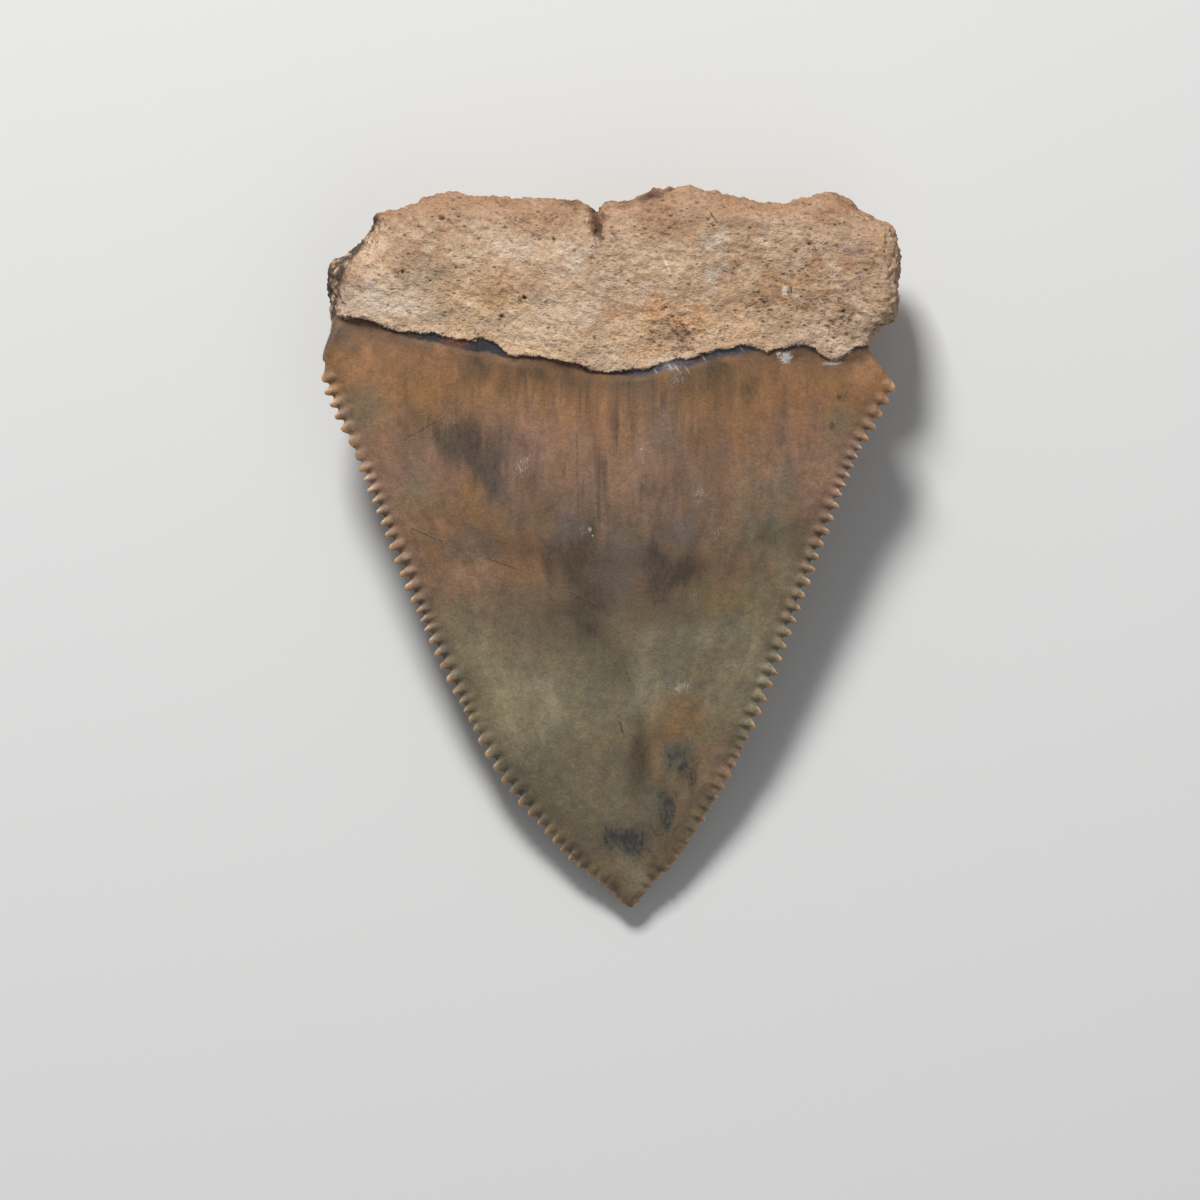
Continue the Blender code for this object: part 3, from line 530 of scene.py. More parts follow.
# A stain is an ellipse, at its strongest in the middle and gone at its rim, and its place is in
# mm: colour, x, y, half width, half height, degrees turned, strength. The lists with no colours
# say how much of one thing there is.
enamelStains = {
    "clouds": [
        ("amber", -15.8, 12.6, 5.6, 3.2, -10, 0.85), ("ashGrey", -17.6, 9.8, 2.2, 3.0, 10, 0.9),
        ("pink", -16.2, 5.6, 2.4, 3.6, 20, 0.9), ("orange", -12.0, 12.0, 3.4, 1.8, -10, 0.6),
        ("pink", -12.4, 6.0, 3.2, 3.0, 20, 0.6), ("grey", -7.8, 6.2, 2.8, 4.4, 10, 0.9),
        ("ashGrey", -14.4, 4.2, 1.6, 2.6, 0, 0.95), ("amber", -10.2, 3.2, 3.0, 3.8, 20, 0.9),
        ("orange", -3.8, 9.3, 4.4, 2.8, 0, 1.0), ("orange", 0.0, 10.2, 3.0, 2.0, 0, 0.9),
        ("pink", -4.4, 6.2, 2.0, 3.4, 0, 0.9), ("pink", 2.6, 6.4, 2.4, 5.0, 0, 0.7),
        ("mauve", 3.6, 9.2, 1.2, 2.6, 0, 0.7), ("orange", 7.6, 8.2, 1.6, 1.4, 0, 0.7),
        ("grey", 2.2, 11.2, 2.8, 1.6, 0, 0.6), ("amber", -5.6, -0.2, 3.2, 3.8, 10, 0.8),
        ("orange", -7.4, -2.0, 2.0, 1.6, 0, 0.6), ("khaki", -11.2, -3.9, 4.2, 3.0, -15, 0.9),
        ("pink", -14.0, -1.0, 1.9, 4.2, 22, 0.9), ("amber", -12.6, -0.6, 1.6, 1.4, 0, 0.6),
        ("orange", 12.3, 10.6, 3.6, 3.0, 0, 0.25), ("amber", 8.0, 8.6, 4.4, 3.0, 0, 0.8),
        ("amber", 9.0, 4.8, 2.6, 3.2, 0, 0.5), ("pink", 14.4, 7.6, 2.8, 3.0, -20, 0.6),
        ("ashGrey", 16.2, 8.6, 2.2, 2.4, 0, 0.9), ("grey", 17.0, 6.8, 1.5, 1.5, 0, 0.7),
        ("orange", 18.2, 12.2, 3.0, 2.6, -30, 1.0), ("amber", 15.6, 12.0, 2.4, 1.8, 0, 0.6),
        ("rose", 15.0, 4.2, 2.0, 2.8, -22, 0.9), ("rose", 12.3, 3.2, 1.1, 1.6, 0, 0.9),
        ("ashGrey", 11.2, 2.6, 3.8, 5.8, -12, 1.0), ("ashGrey", 13.2, -1.6, 3.0, 5.0, -22, 0.9),
        ("mauve", 4.4, 1.6, 3.4, 2.8, 0, 0.8), ("mauve", -1.6, 1.2, 2.6, 2.2, 0, 0.8),
        ("pink", 1.8, 2.6, 1.6, 2.4, 0, 0.5), ("grey", 0.6, -2.2, 1.8, 1.6, 0, 0.7),
        ("yellowKhaki", 9.0, -4.0, 5.6, 2.6, 5, 1.0), ("khaki", 11.8, -5.4, 2.6, 2.6, -15, 0.8),
        ("yellowKhaki", 1.0, -4.6, 1.8, 1.8, 0, 0.7), ("olive", 4.6, 7.4, 1.2, 2.8, 0, 0.5),
        ("ashGrey", -10.4, -8.6, 2.8, 6.2, 25, 0.9),
        ("paleOlive", -7.0, -10.4, 3.6, 6.4, 25, 0.9),
        ("paleOlive", -2.6, -11.2, 3.2, 4.6, 20, 0.6), ("khaki", -6.4, -7.4, 3.6, 2.8, 0, 0.6),
        ("darkOlive", -2.2, -5.6, 4.2, 2.8, 0, 0.6), ("ashGrey", 4.2, -8.4, 5.0, 2.6, 10, 1.0),
        ("paleOlive", 2.2, -6.8, 1.8, 1.2, 0, 0.7), ("paleOlive", 6.6, -7.2, 1.8, 1.0, 20, 0.5),
        ("ashGrey", 8.8, -8.6, 2.6, 4.2, -20, 0.9), ("paleOlive", 9.6, -11.0, 1.8, 3.6, -25, 0.7),
        ("amber", 5.0, -11.9, 3.0, 2.1, 0, 1.0), ("tan", 3.0, -14.4, 2.3, 4.2, 0, 1.0),
        ("amber", 2.4, -13.6, 1.4, 1.6, 0, 0.4), ("pink", -10.4, -2.2, 3.4, 3.2, 0, 0.95),
        ("paleOlive", -10.2, -6.8, 2.8, 3.0, 15, 0.5),
        ("paleOlive", 11.0, -6.8, 2.6, 3.4, -18, 0.65),
        ("paleOlive", 7.0, -6.4, 2.4, 1.8, 0, 0.45),
        ("paleOlive", 7.6, -10.4, 1.8, 2.4, -20, 0.4), ("khaki", -1.8, -15.0, 2.6, 2.6, 0, 0.8),
        ("darkOlive", 2.3, -15.2, 1.3, 3.6, 5, 0.75), ("mist", 1.6, -10.6, 1.4, 2.6, 0, 0.5),
        ("tan", 6.8, -15.2, 2.0, 5.0, -22, 1.0), ("ashGrey", -2.8, -17.4, 4.8, 3.0, 0, 0.8),
        ("mist", 0.8, -19.8, 3.6, 2.0, 0, 0.75), ("olive", -5.6, -16.2, 2.2, 3.6, 35, 0.6),
        ("paleOlive", 1.2, -23.6, 2.8, 2.2, 0, 0.8), ("paleOlive", 0.4, -18.2, 2.4, 1.4, 0, 0.4),
        ("tan", 5.0, -18.8, 1.7, 4.2, -30, 0.9), ("tipBrown", -2.8, -22.4, 1.5, 3.2, 45, 0.8),
        ("tipBrown", 3.9, -22.6, 1.1, 3.0, -40, 0.6), ("tan", -4.8, -20.0, 1.5, 2.8, 40, 0.6),
        ("amber", -18.8, 13.8, 3.0, 2.4, 0, 0.9), ("orange", -17.8, 12.9, 1.8, 1.2, 0, 0.6),
        ("grey", 0.4, -0.6, 7.6, 3.2, 0, 0.55), ("pink", -6.4, 8.0, 2.4, 3.0, 0, 0.6),
        ("paleOlive", 10.2, -8.8, 3.2, 4.0, -20, 0.7),
        ("paleOlive", 7.8, -11.6, 2.6, 3.4, -22, 0.6),
        ("paleOlive", 1.8, -10.4, 2.4, 2.4, 0, 0.6), ("khaki", 7.8, -14.6, 1.8, 3.6, -22, 0.7),
        ("pink", 9.6, 4.2, 3.4, 3.4, 0, 0.4), ("tan", -10.2, -2.4, 3.0, 2.6, 0, 0.6),
        ("tan", -14.2, 2.2, 2.2, 2.8, 15, 0.5), ("tan", -10.1, 2.0, 2.4, 2.4, 0, 0.4),
        ("sandy", 15.8, 6.4, 2.2, 2.8, -20, 0.7), ("rose", -5.6, 6.4, 2.0, 2.6, 0, 0.7),
        ("sandy", -10.1, -2.3, 2.6, 2.4, 0, 0.4), ("tan", 7.2, -15.4, 1.4, 3.4, -22, 0.7),
        ("khaki", -1.5, -15.4, 2.2, 2.4, 0, 0.6), ("khaki", 0.8, -18.8, 2.4, 1.8, 0, 0.5),
        ("sandy", 7.3, -15.2, 1.4, 2.6, -22, 0.45), ("olive", -1.6, -10.9, 2.8, 2.8, 0, 0.5),
        ("paleOlive", 3.0, -10.4, 3.0, 2.0, 0, 0.8), ("paleOlive", 11.4, -2.4, 2.8, 2.8, 0, 0.45),
        ("greyBrown", -9.8, 7.2, 6.2, 2.6, -18, 0.75), ("olive", -12.8, 8.4, 2.6, 1.6, -15, 0.6),
        ("orange", -16.4, 13.2, 3.6, 1.6, -8, 0.55), ("sandy", -14.4, 2.0, 1.8, 2.4, 15, 0.35),
    ],
    "dark": [
        (-9.6, 7.4, 7.4, 3.0, -16, 0.8), (-12.8, 8.6, 3.2, 2.0, -10, 0.75),
        (-8.8, 5.4, 2.6, 3.0, 0, 0.65), (-6.0, 3.6, 2.4, 2.6, 0, 0.4),
        (-2.6, 3.6, 1.4, 1.2, 0, 0.5), (-5.2, 0.6, 1.5, 1.2, 0, 0.5),
        (0.6, -1.2, 8.0, 3.4, 0, 0.4), (-3.4, -0.4, 4.8, 2.4, -10, 1.0),
        (-2.0, -1.8, 2.2, 1.8, 0, 0.6), (0.0, -1.8, 1.4, 1.2, 0, 0.9),
        (3.2, -1.3, 2.2, 2.6, 10, 1.2), (3.0, -2.8, 2.8, 1.6, 0, 0.9),
        (5.6, -1.7, 1.4, 2.2, 0, 1.6), (5.0, 0.4, 2.4, 1.5, -20, 0.6),
        (-1.6, -4.4, 3.2, 2.2, 0, 0.9), (-0.9, -5.4, 0.8, 2.8, 0, 0.75),
        (-4.2, -6.0, 2.2, 1.2, 0, 0.5), (4.0, -4.4, 4.4, 1.6, 0, 0.45),
        (0.6, -7.0, 1.4, 1.8, 0, 0.5), (7.0, 11.9, 5.2, 1.9, 0, 0.65),
        (7.6, 12.6, 2.6, 1.3, 0, 0.8), (9.6, 10.8, 1.6, 2.2, 0, 0.7),
        (11.6, 9.6, 1.2, 1.6, 0, 0.4), (-5.4, 12.2, 6.4, 1.5, -8, 0.75),
        (-9.4, 12.7, 2.4, 1.5, -12, 0.75), (1.0, 11.8, 4.0, 1.0, 0, 0.65),
        (6.6, 6.2, 2.8, 3.6, 0, 0.5), (4.2, 4.6, 2.2, 1.6, 0, 0.5),
        (11.8, 0.6, 2.0, 1.8, 0, 0.65), (15.4, 12.7, 3.6, 1.2, 0, 0.5),
        (1.2, -8.6, 1.5, 2.6, 0, 0.6), (1.9, -14.8, 1.1, 3.2, 8, 0.95),
        (2.0, -17.0, 0.9, 2.6, 0, 0.75), (3.2, -13.2, 1.1, 1.2, 0, 0.5),
        (-9.0, 1.0, 1.8, 2.4, 10, 0.4), (-16.4, 13.6, 2.4, 1.6, 0, 0.35),
        (-1.2, 8.4, 1.0, 3.0, 0, 0.4),
    ],
    "slate": [
        (5.1, -15.6, 1.4, 2.4, 28, 1.15), (4.6, -14.4, 1.6, 1.1, 0, 0.85),
        (5.9, -16.8, 0.9, 1.4, 0, 0.8), (3.8, -19.0, 1.3, 2.8, 10, 1.0),
        (3.0, -17.5, 1.8, 1.1, -30, 0.6), (0.9, -21.1, 3.4, 1.4, -8, 1.28),
        (1.2, -22.1, 1.6, 1.0, 0, 0.7), (1.35, -22.9, 0.8, 1.0, 0, 0.6),
        (-1.6, -20.7, 1.8, 0.9, -35, 0.55), (-6.6, -17.5, 1.0, 2.6, 40, 0.45),
    ],
    "streaky": [
        (1.0, 9.4, 9.5, 5.6, 0, 0.9), (0.4, 6.4, 6.6, 8.4, 0, 0.9),
        (-9.6, 10.6, 4.0, 3.4, 0, 0.4), (-2.2, -5.6, 3.4, 5.4, 0, 0.75),
        (3.6, -3.6, 4.4, 4.4, 0, 0.4), (13.6, 11.0, 4.0, 3.0, 0, 0.35),
        (1.2, -11.6, 1.4, 4.6, 0, 0.6),
    ],
    # where whitish scratches are painted as glints
    "frostAndGlint": [
        (4.4, 12.2, 1.4, 1.1, 0, 0.8), (6.6, 13.0, 0.7, 0.6, 0, 0.6),
        (6.4, 3.6, 1.8, 1.6, 0, 0.85), (7.6, 0.6, 2.0, 1.1, 10, 1.0),
        (-8.0, 7.6, 1.3, 1.0, 0, 0.7), (-6.2, 5.6, 1.2, 2.0, 0, 0.95),
        (-1.6, 1.0, 1.4, 1.3, 0, 0.8), (4.4, -9.8, 2.2, 1.4, -30, 1.5),
        (-0.4, -2.8, 1.4, 0.8, 0, 0.6), (6.4, -3.6, 1.3, 1.1, 0, 0.6),
        (-7.6, -10.0, 0.8, 1.2, 0, 0.5), (2.6, 7.0, 0.9, 1.5, 0, 0.7),
        (4.6, 1.4, 2.2, 1.4, 0, 0.6), (0.8, 3.6, 1.8, 1.2, 0, 0.55),
    ],
}

# A drift is soft patches of a colour with no place of their own: colour, strength, how much of
# it there is, how sharply it changes, and its noise's size, octaves and start.
enamelDrifts = {
    "upper": [("orange", 0.3, 0.0, 1.8, 1.9, 4, 14.0), ("greyBrown", 0.35, 0.0, 1.8, 1.6, 4, 21.0)],
    "lower": [("khaki", 0.4, 0.0, 1.8, 2.2, 4, 17.0), ("mist", 0.3, 0.0, 1.8, 2.0, 4, 23.0)],
    "inner": [("brown", 0.8, 0.5, 0.9, 5.0, 3, 4.1), ("amber", 0.6, 0.0, 1.6, 4.0, 3, 9.4),
              ("ashGrey", 0.7, 0.0, 1.6, 3.0, 3, 6.3)],
}

dentineDrifts = {
    "under": [("cream", 1.0, 0.5, 1.1, 2.6, 4, 1.1)],
    "over": [("clay", 0.35, 0.0, 1.6, 2.0, 4, 6.0), ("bleached", 0.25, 0.0, 1.6, 1.4, 3, 8.0)],
}

# how the enamel is painted along the serrations, painted shade and highlight included: from how far
# in, over how much, and how strongly
edgeWear = {
    "band": (0.75, 0.45),  # the middle and half the width of the band just inside the serrations
    "bandPink": 0.35,
    # how strongly painted shade turns that band slate
    "slateShadeBand": 0.4,
    # the serrations' points: the thin enamel's tan, lightened as painted highlight
    "tan": (0.35, 0.5, 0.85),
    # the painted highlight on the serrations' upper side
    "paintedHighlight": (0.4, 0.4, 0.8),
    "polish": (0.45, 0.5),
}

stripStains = [
    ("blueBlack", -13.0, 15.1, 1.7, 0.8, 0, 0.9), ("rust", -10.9, 14.7, 1.2, 0.8, 0, 0.9),
    ("blueBlack", -8.9, 14.2, 2.0, 1.2, 0, 1.0), ("rust", -4.0, 13.0, 2.4, 1.2, 0, 0.6),
    # the small pale fleck on the strip is a painted glint
    ("slatePurple", 3.6, 12.9, 3.0, 1.2, 0, 1.0), ("frostAndGlint", 4.4, 12.9, 0.5, 0.8, 30, 0.3),
    ("slateBlue", 8.6, 14.0, 2.4, 1.0, 0, 1.0), ("slateBlue", 13.6, 14.3, 1.3, 0.8, 0, 1.0),
    ("slateBlue", 17.9, 14.2, 1.1, 0.8, 0, 0.9),
]

dentineStains = {
    "clouds": [
        ("clay", -18.8, 19.2, 3.0, 3.0, 0, 0.55), ("bleached", -17.2, 17.8, 3.0, 2.0, 0, 0.45),
        ("bleached", -15.0, 17.0, 3.0, 1.2, -15, 0.5),
        ("greenGrey", -13.2, 19.4, 2.8, 3.8, 0, 0.45), ("cream", -11.2, 23.8, 3.0, 1.6, 0, 0.9),
        ("bleached", -9.6, 23.6, 1.2, 0.8, 0, 0.5), ("bleached", -7.4, 21.6, 1.8, 0.8, 0, 0.45),
        ("greenGrey", -12.6, 16.6, 2.6, 1.1, -10, 0.5), ("cream", -5.0, 21.4, 4.4, 2.2, 0, 0.8),
        ("ochre", -5.8, 14.6, 7.6, 1.6, -8, 0.8), ("ochre", -9.0, 17.6, 5.0, 2.0, -10, 0.45),
        ("clay", -3.0, 24.6, 2.6, 0.9, 0, 0.8), ("bleached", -2.6, 21.4, 1.6, 1.4, 0, 0.6),
        ("ochre", 1.6, 14.2, 4.6, 1.6, 5, 0.7), ("sand", 2.4, 20.0, 3.6, 3.4, 0, 0.6),
        ("apricot", 4.4, 15.7, 5.0, 2.8, 0, 1.0), ("clay", 14.6, 19.6, 7.0, 6.2, 0, 0.2),
        ("orangeBrown", 15.0, 18.6, 6.0, 4.4, 0, 0.4), ("apricot", 8.4, 15.1, 4.0, 1.8, 0, 0.85),
        ("clay", 4.4, 22.8, 2.2, 1.6, 0, 0.4), ("clay", -0.4, 18.0, 2.6, 3.4, 0, 0.35),
        ("bleached", 7.1, 22.4, 1.2, 1.5, 10, 1.0), ("bleached", 7.6, 20.1, 1.2, 1.0, 0, 0.8),
        ("cream", 10.1, 19.6, 1.3, 0.9, 0, 1.0), ("bleached", 5.6, 24.4, 1.3, 0.8, 0, 0.6),
        ("violetGrey", 17.4, 21.3, 1.6, 1.1, 0, 0.4), ("cream", 13.6, 22.8, 1.9, 1.2, 0, 0.5),
        ("orangeBrown", 4.3, 14.7, 2.4, 1.4, 5, 0.9), ("clay", 4.0, 17.4, 3.0, 1.8, 0, 0.35),
        ("cream", 18.6, 16.6, 2.0, 1.1, 0, 0.7), ("bleached", 16.4, 14.2, 1.7, 0.9, 0, 0.8),
        ("cream", 10.6, 16.2, 2.6, 1.2, 0, 0.5), ("cream", 19.4, 24.0, 1.8, 1.2, 0, 0.4),
        ("cream", -5.6, 15.2, 3.6, 0.9, -8, 0.7), ("cream", -0.6, 13.9, 3.0, 0.9, 0, 0.6),
        ("cream", 8.0, 15.4, 2.6, 0.8, 5, 0.6), ("darkBrown", 3.0, 25.5, 2.2, 1.0, 15, 0.95),
        ("darkBrown", 0.3, 24.9, 1.0, 0.6, 30, 0.5), ("darkBrown", -1.0, 23.6, 0.9, 2.4, 4, 0.9),
        ("darkBrown", -2.6, 25.0, 1.4, 0.4, -10, 0.6),
        ("darkBrown", -15.2, 24.4, 0.7, 0.5, -30, 0.5),
    ],
    "mottled": [
        (-11.6, 23.9, 1.3, 1.0, -30, 0.55), (-9.0, 24.9, 1.8, 0.8, 0, 0.6),
        (-2.4, 24.5, 2.0, 1.0, 0, 0.8), (-0.95, 22.9, 0.8, 2.4, 0, 1.05),
        (-0.95, 24.4, 1.1, 1.2, 0, 0.9), (3.1, 25.4, 2.2, 1.0, 15, 1.2),
        (0.6, 24.7, 1.4, 0.8, 0, 0.8), (11.6, 17.5, 3.4, 2.0, -15, 0.65),
        (16.4, 17.2, 4.6, 3.2, 0, 0.7), (13.9, 21.0, 3.6, 2.4, 0, 0.6),
        (4.6, 15.1, 2.8, 1.9, 20, 0.8), (5.8, 16.4, 1.6, 1.2, 40, 0.6),
        (18.2, 19.6, 1.8, 2.2, 0, 0.55), (9.2, 16.6, 2.0, 0.6, -25, 0.6),
        (3.6, 23.2, 1.9, 1.3, 0, 0.45), (-16.0, 22.6, 1.2, 1.6, 0, 0.5),
        (14.8, 15.8, 1.8, 1.2, 0, 0.6), (13.0, 19.6, 2.0, 1.4, 0, 0.5),
        (9.6, 22.6, 1.4, 2.0, 20, 0.5), (-13.8, 22.0, 1.6, 1.2, 0, 0.4),
        (19.4, 17.6, 1.2, 1.4, 0, 0.6), (-14.9, 19.7, 0.6, 0.9, 0, 0.8),
        (-6.2, 18.0, 0.6, 0.7, 0, 0.8), (-3.0, 15.0, 2.4, 0.5, -8, 0.5),
        (-7.8, 16.6, 1.1, 0.4, -15, 0.6),
    ],
}


def wandered(places, *waves):  # the places moved about, each wave (size, amount) in mm
    moved = places.copy()
    for size, amount in waves:
        moved += amount * np.array([noise.noise_vector(p) for p in (places / size + size).tolist()])
    return moved


def coverOf(stain, places, ragged):  # how much a stain covers each point
    x, y, across, along, turn, strength = stain[-6:]
    away = turned(places - (x, y, 0.0), -turn)
    reach = np.hypot(away[:, 0] / across, away[:, 1] / along)
    return strength * smoothstep(1.0 - reach + ragged) * (reach < 1.7)


def stainOver(colour, places, stains, ragged):
    for stain in stains:
        over = np.array(linear(palette[stain[0]])[:3])
        colour += np.minimum(coverOf(stain, places, ragged), 1.0)[:, None] * (over - colour)


def amountOf(places, stains, ragged):
    return np.max([coverOf(stain, places, ragged) for stain in stains], axis=0)


def blend(colour, name, share):
    colour += np.asarray(share)[:, None] * (np.array(linear(palette[name])[:3]) - colour)


def driftOver(colour, places, drifts, where=1.0):
    for name, strength, start, gain, size, octaves, shift in drifts:
        patches = start + gain * noiseAt(places, size, octaves=octaves, shift=shift)
        blend(colour, name, strength * where * smoothstep(patches))


def plainColour(places, name):
    colour = np.empty((len(places), 3))
    colour[:] = linear(palette[name])[:3]
    return colour


def paintEnamel(body, places, out, outer, edge, neck):
    cloudy = wandered(places, (5.0, 1.6), (1.7, 0.9), (0.55, 0.4))
    soft = noiseAt(places, 1.5, (1, 1, 3), octaves=4, shift=2.2)
    heights, names = zip(*enamelBands)
    bands = np.array([linear(palette[name])[:3] for name in names])
    colour = np.column_stack([np.interp(cloudy[:, 1] + soft, heights, bands[:, i])
                              for i in range(3)])
    stainOver(colour, cloudy, enamelStains["clouds"], 0.35 * soft)
    # smaller drifts of one colour into the next
    upper = smoothstep((places[:, 1] + 6) / 5)
    driftOver(colour, cloudy, enamelDrifts["upper"], upper)
    driftOver(colour, cloudy, enamelDrifts["lower"], 1 - upper)
    # the hidden inner face has its own soft patches
    inner = plainColour(places, "olive")
    driftOver(inner, cloudy, enamelDrifts["inner"])
    colour += 0.6 * (1 - outer)[:, None] * (inner - colour)
    # just inside the serrations: pinker in places, and slate as painted shade on the lower half;
    # towards their points the thin enamel's tan, lightened as painted highlight
    wearAndPaintedLight = noiseAt(places, 2.6, octaves=2, shift=5.0)
    inset, width = edgeWear["band"]
    near = np.exp(-((edge - inset) / width) ** 2) * (places[:, 1] < 11)
    blend(colour, "pink", edgeWear["bandPink"] * near * smoothstep((places[:, 1] + 8) / 6))
    # painted shade: slate just inside the serrations on the lower half, broken up by noise
    lower = smoothstep(-places[:, 1] / 8)
    blend(colour, "slate", near * smoothstep(wearAndPaintedLight * 1.2 + 0.2) * lower * edgeWear["slateShadeBand"])
    # tan of the thin points, lightened as painted highlight
    start, fade, strength = edgeWear["tan"]
    blend(colour, "pegTanAndHighlight", strength * smoothstep((start - edge) / fade))
    # and a painted highlight on the serrations' upper side, which faces the light
    start, fade, strength = edgeWear["paintedHighlight"]
    paintedHighlight = smoothstep((start - edge) / fade) * smoothstep(1.6 * out[:, 1] + 0.2) * (neck < 0)
    blend(colour, "pegHighlight", strength * paintedHighlight * smoothstep(0.6 + noiseAt(places, 1.6, shift=3.7)))
    # and all of it a little lighter or darker, warmer or cooler, from place to place
    lighter = noiseAt(places, 0.9, octaves=3, shift=12.0)[:, None]
    warmer = noiseAt(places, 1.3, octaves=3, shift=17.0)[:, None]
    colour *= 1 + 0.16 * lighter + 0.05 * warmer * np.array([1.0, 0.1, -1.2])
    addAttribute(body, "enamelColour", colour)
    nearby = wandered(places, (1.7, 0.5), (0.55, 0.3))
    ragged = 0.6 * noiseAt(nearby, 1.37, (1, 1.3, 3), octaves=5, shift=3.9)
    addAttribute(body, "dark", outer * amountOf(nearby, enamelStains["dark"], 0.1 + ragged)
                 + (1 - outer) * 0.6 * smoothstep(noiseAt(cloudy, 3.2, octaves=4, shift=1.9) * 1.4))
    addAttribute(body, "slate", amountOf(nearby, enamelStains["slate"], 0.5 * ragged) * outer)
    groups = smoothstep(0.45 + 1.2 * noiseAt(places, 1.0, (1, 5, 3), octaves=2, shift=7.1))
    addAttribute(body, "streaky", amountOf(places, enamelStains["streaky"], 0.3 * soft) * groups)
    # where whitish scratches are painted as glints
    addAttribute(body, "frostAndGlint", amountOf(places, enamelStains["frostAndGlint"], 0.5 * soft) * outer)
    start, fade = edgeWear["polish"]
    addAttribute(body, "polish", smoothstep((start - edge) / fade))


def paintDentine(body, places, out):
    cloudy = wandered(places, (3.0, 1.0), (1.0, 0.6), (0.4, 0.3))
    soft = noiseAt(places, 1.3, octaves=4, shift=3.3)
    colour = plainColour(places, "sand")
    driftOver(colour, cloudy, dentineDrifts["under"])
    stainOver(colour, cloudy, dentineStains["clouds"], 0.4 * soft)
    driftOver(colour, cloudy, dentineDrifts["over"])
    # the sides are browner, partly as painted shade where they turn from the light; the top is
    # painted darker as shade where it curves away, the upward faces near the neck paler as painted
    # light, darkest where the left end broke away
    fine = noiseAt(places, 0.5, octaves=3, shift=5.5)
    side = smoothstep((0.7 - np.abs(out[:, 2])) / 0.6 + 0.5 * soft + 0.4 * fine)
    blend(colour, "clay", 0.75 * side)
    blend(colour, "clay", 0.7 * smoothstep((places[:, 1] - 21.0) / 4))
    blend(colour, "cream", 0.55 * smoothstep((17.8 - places[:, 1]) / 3) * smoothstep(out[:, 2]))
    blend(colour, "ledge", 0.95 * brokenShare(places) * smoothstep(0.9 + soft + fine))
    addAttribute(body, "dentineColour", colour)
    ragged = 0.8 * noiseAt(places, 0.8, octaves=5, shift=2.6)
    # brown mottling: where its stains lie, and in patches on the root's sides, partly as painted
    # shade
    addAttribute(body, "mottled", np.maximum(amountOf(cloudy, dentineStains["mottled"], ragged),
                                             0.9 * side * smoothstep(0.4 + ragged)))


def paintPoints(body):
    noise.seed_set(11)  # which also places what wandered() reads
    places, out = readPoints(body), readPoints(body, "normal")
    outer = outerShare(places)
    neck = neckDistance(places, outer)
    paintEnamel(body, places, out, outer, edgeDistance(places), neck)
    paintDentine(body, places, out)
    strip = plainColour(places, "stripBrown")
    stainOver(strip, wandered(places, (0.6, 0.3)), stripStains, 0.3)
    addAttribute(body, "stripColour", strip)
    width = readCurve(tooth["stripWidth"], places[:, 0])
    addAttribute(body, "strip", outer * width + (1 - outer) * 0.7)
    addAttribute(body, "neck", neck)
    return neck


neck = paintPoints(body)
print("stained")


def addNode(tree, kind, inputs, out=0, **settings):  # gives the node's output to link from
    node = tree.nodes.new("ShaderNode" + kind)
    for name, value in settings.items():
        setattr(node, name, value)
    for socket, value in inputs.items():
        if isinstance(value, bpy.types.NodeSocket):
            tree.links.new(value, node.inputs[socket])
        else:
            node.inputs[socket].default_value = value
    return node.outputs[out]


# sockets of the Mix node when it mixes colours: how much, what is under, what is over, the result
mixBy, mixFrom, mixTo, mixOut = 0, 6, 7, 2

# hairlines and specks, and whitish chips and scratches painted as glints, too fine for the points:
# as the stains above
enamelMarks = [
    ("umber", 16.45, 10.9, 0.30, 0.32, 0, 0.7), ("umber", 15.9, 8.8, 0.36, 0.38, 0, 0.7),
    ("umber", -13.3, 8.65, 2.4, 0.13, 29, 0.5), ("umber", -13.3, 1.0, 2.4, 0.06, -24, 0.8),
    ("umber", -7.8, -1.1, 2.4, 0.06, -20, 0.75), ("umber", -1.8, -3.8, 2.2, 0.06, -30, 0.8),
    ("umber", 1.32, -9.3, 0.08, 1.2, 20, 0.6), ("umber", 0.8, -13.0, 0.12, 1.0, 15, 0.7),
    ("umber", -2.4, 6.8, 0.07, 3.2, 0, 0.45), ("umber", -0.9, 3.2, 0.06, 2.6, 1, 0.45),
    ("umber", 0.45, 8.8, 0.08, 2.6, -1, 0.45), ("umber", 1.9, 9.4, 0.07, 2.2, 1, 0.4),
    ("umber", 13.6, -11.4, 0.6, 0.06, -35, 0.7), ("frostAndGlint", -1.5, 1.35, 0.20, 0.26, 0, 0.9),
    ("frostAndGlint", -1.3, 0.9, 0.10, 0.12, 0, 0.9), ("frostAndGlint", 2.2, 7.1, 0.13, 0.11, 0, 0.8),
    ("frostAndGlint", 12.6, 13.7, 0.60, 0.50, 10, 1.6), ("frostAndGlint", 12.1, 13.95, 0.25, 0.25, 0, 1.0),
    ("frostAndGlint", 16.0, 13.3, 0.95, 0.20, 4, 0.8), ("frostAndGlint", 4.2, 13.1, 0.10, 0.55, 35, 0.8),
    ("frostAndGlint", 4.75, 12.9, 0.09, 0.50, 35, 0.8), ("frostAndGlint", 6.6, 13.75, 0.09, 0.50, 35, 0.8),
    ("frostAndGlint", 3.2, 12.75, 0.08, 0.40, 35, 0.6), ("frostAndGlint", 9.4, 14.3, 0.08, 0.35, 35, 0.5),
    ("frostAndGlint", 5.5, 12.8, 0.07, 0.6, 35, 0.5),
]

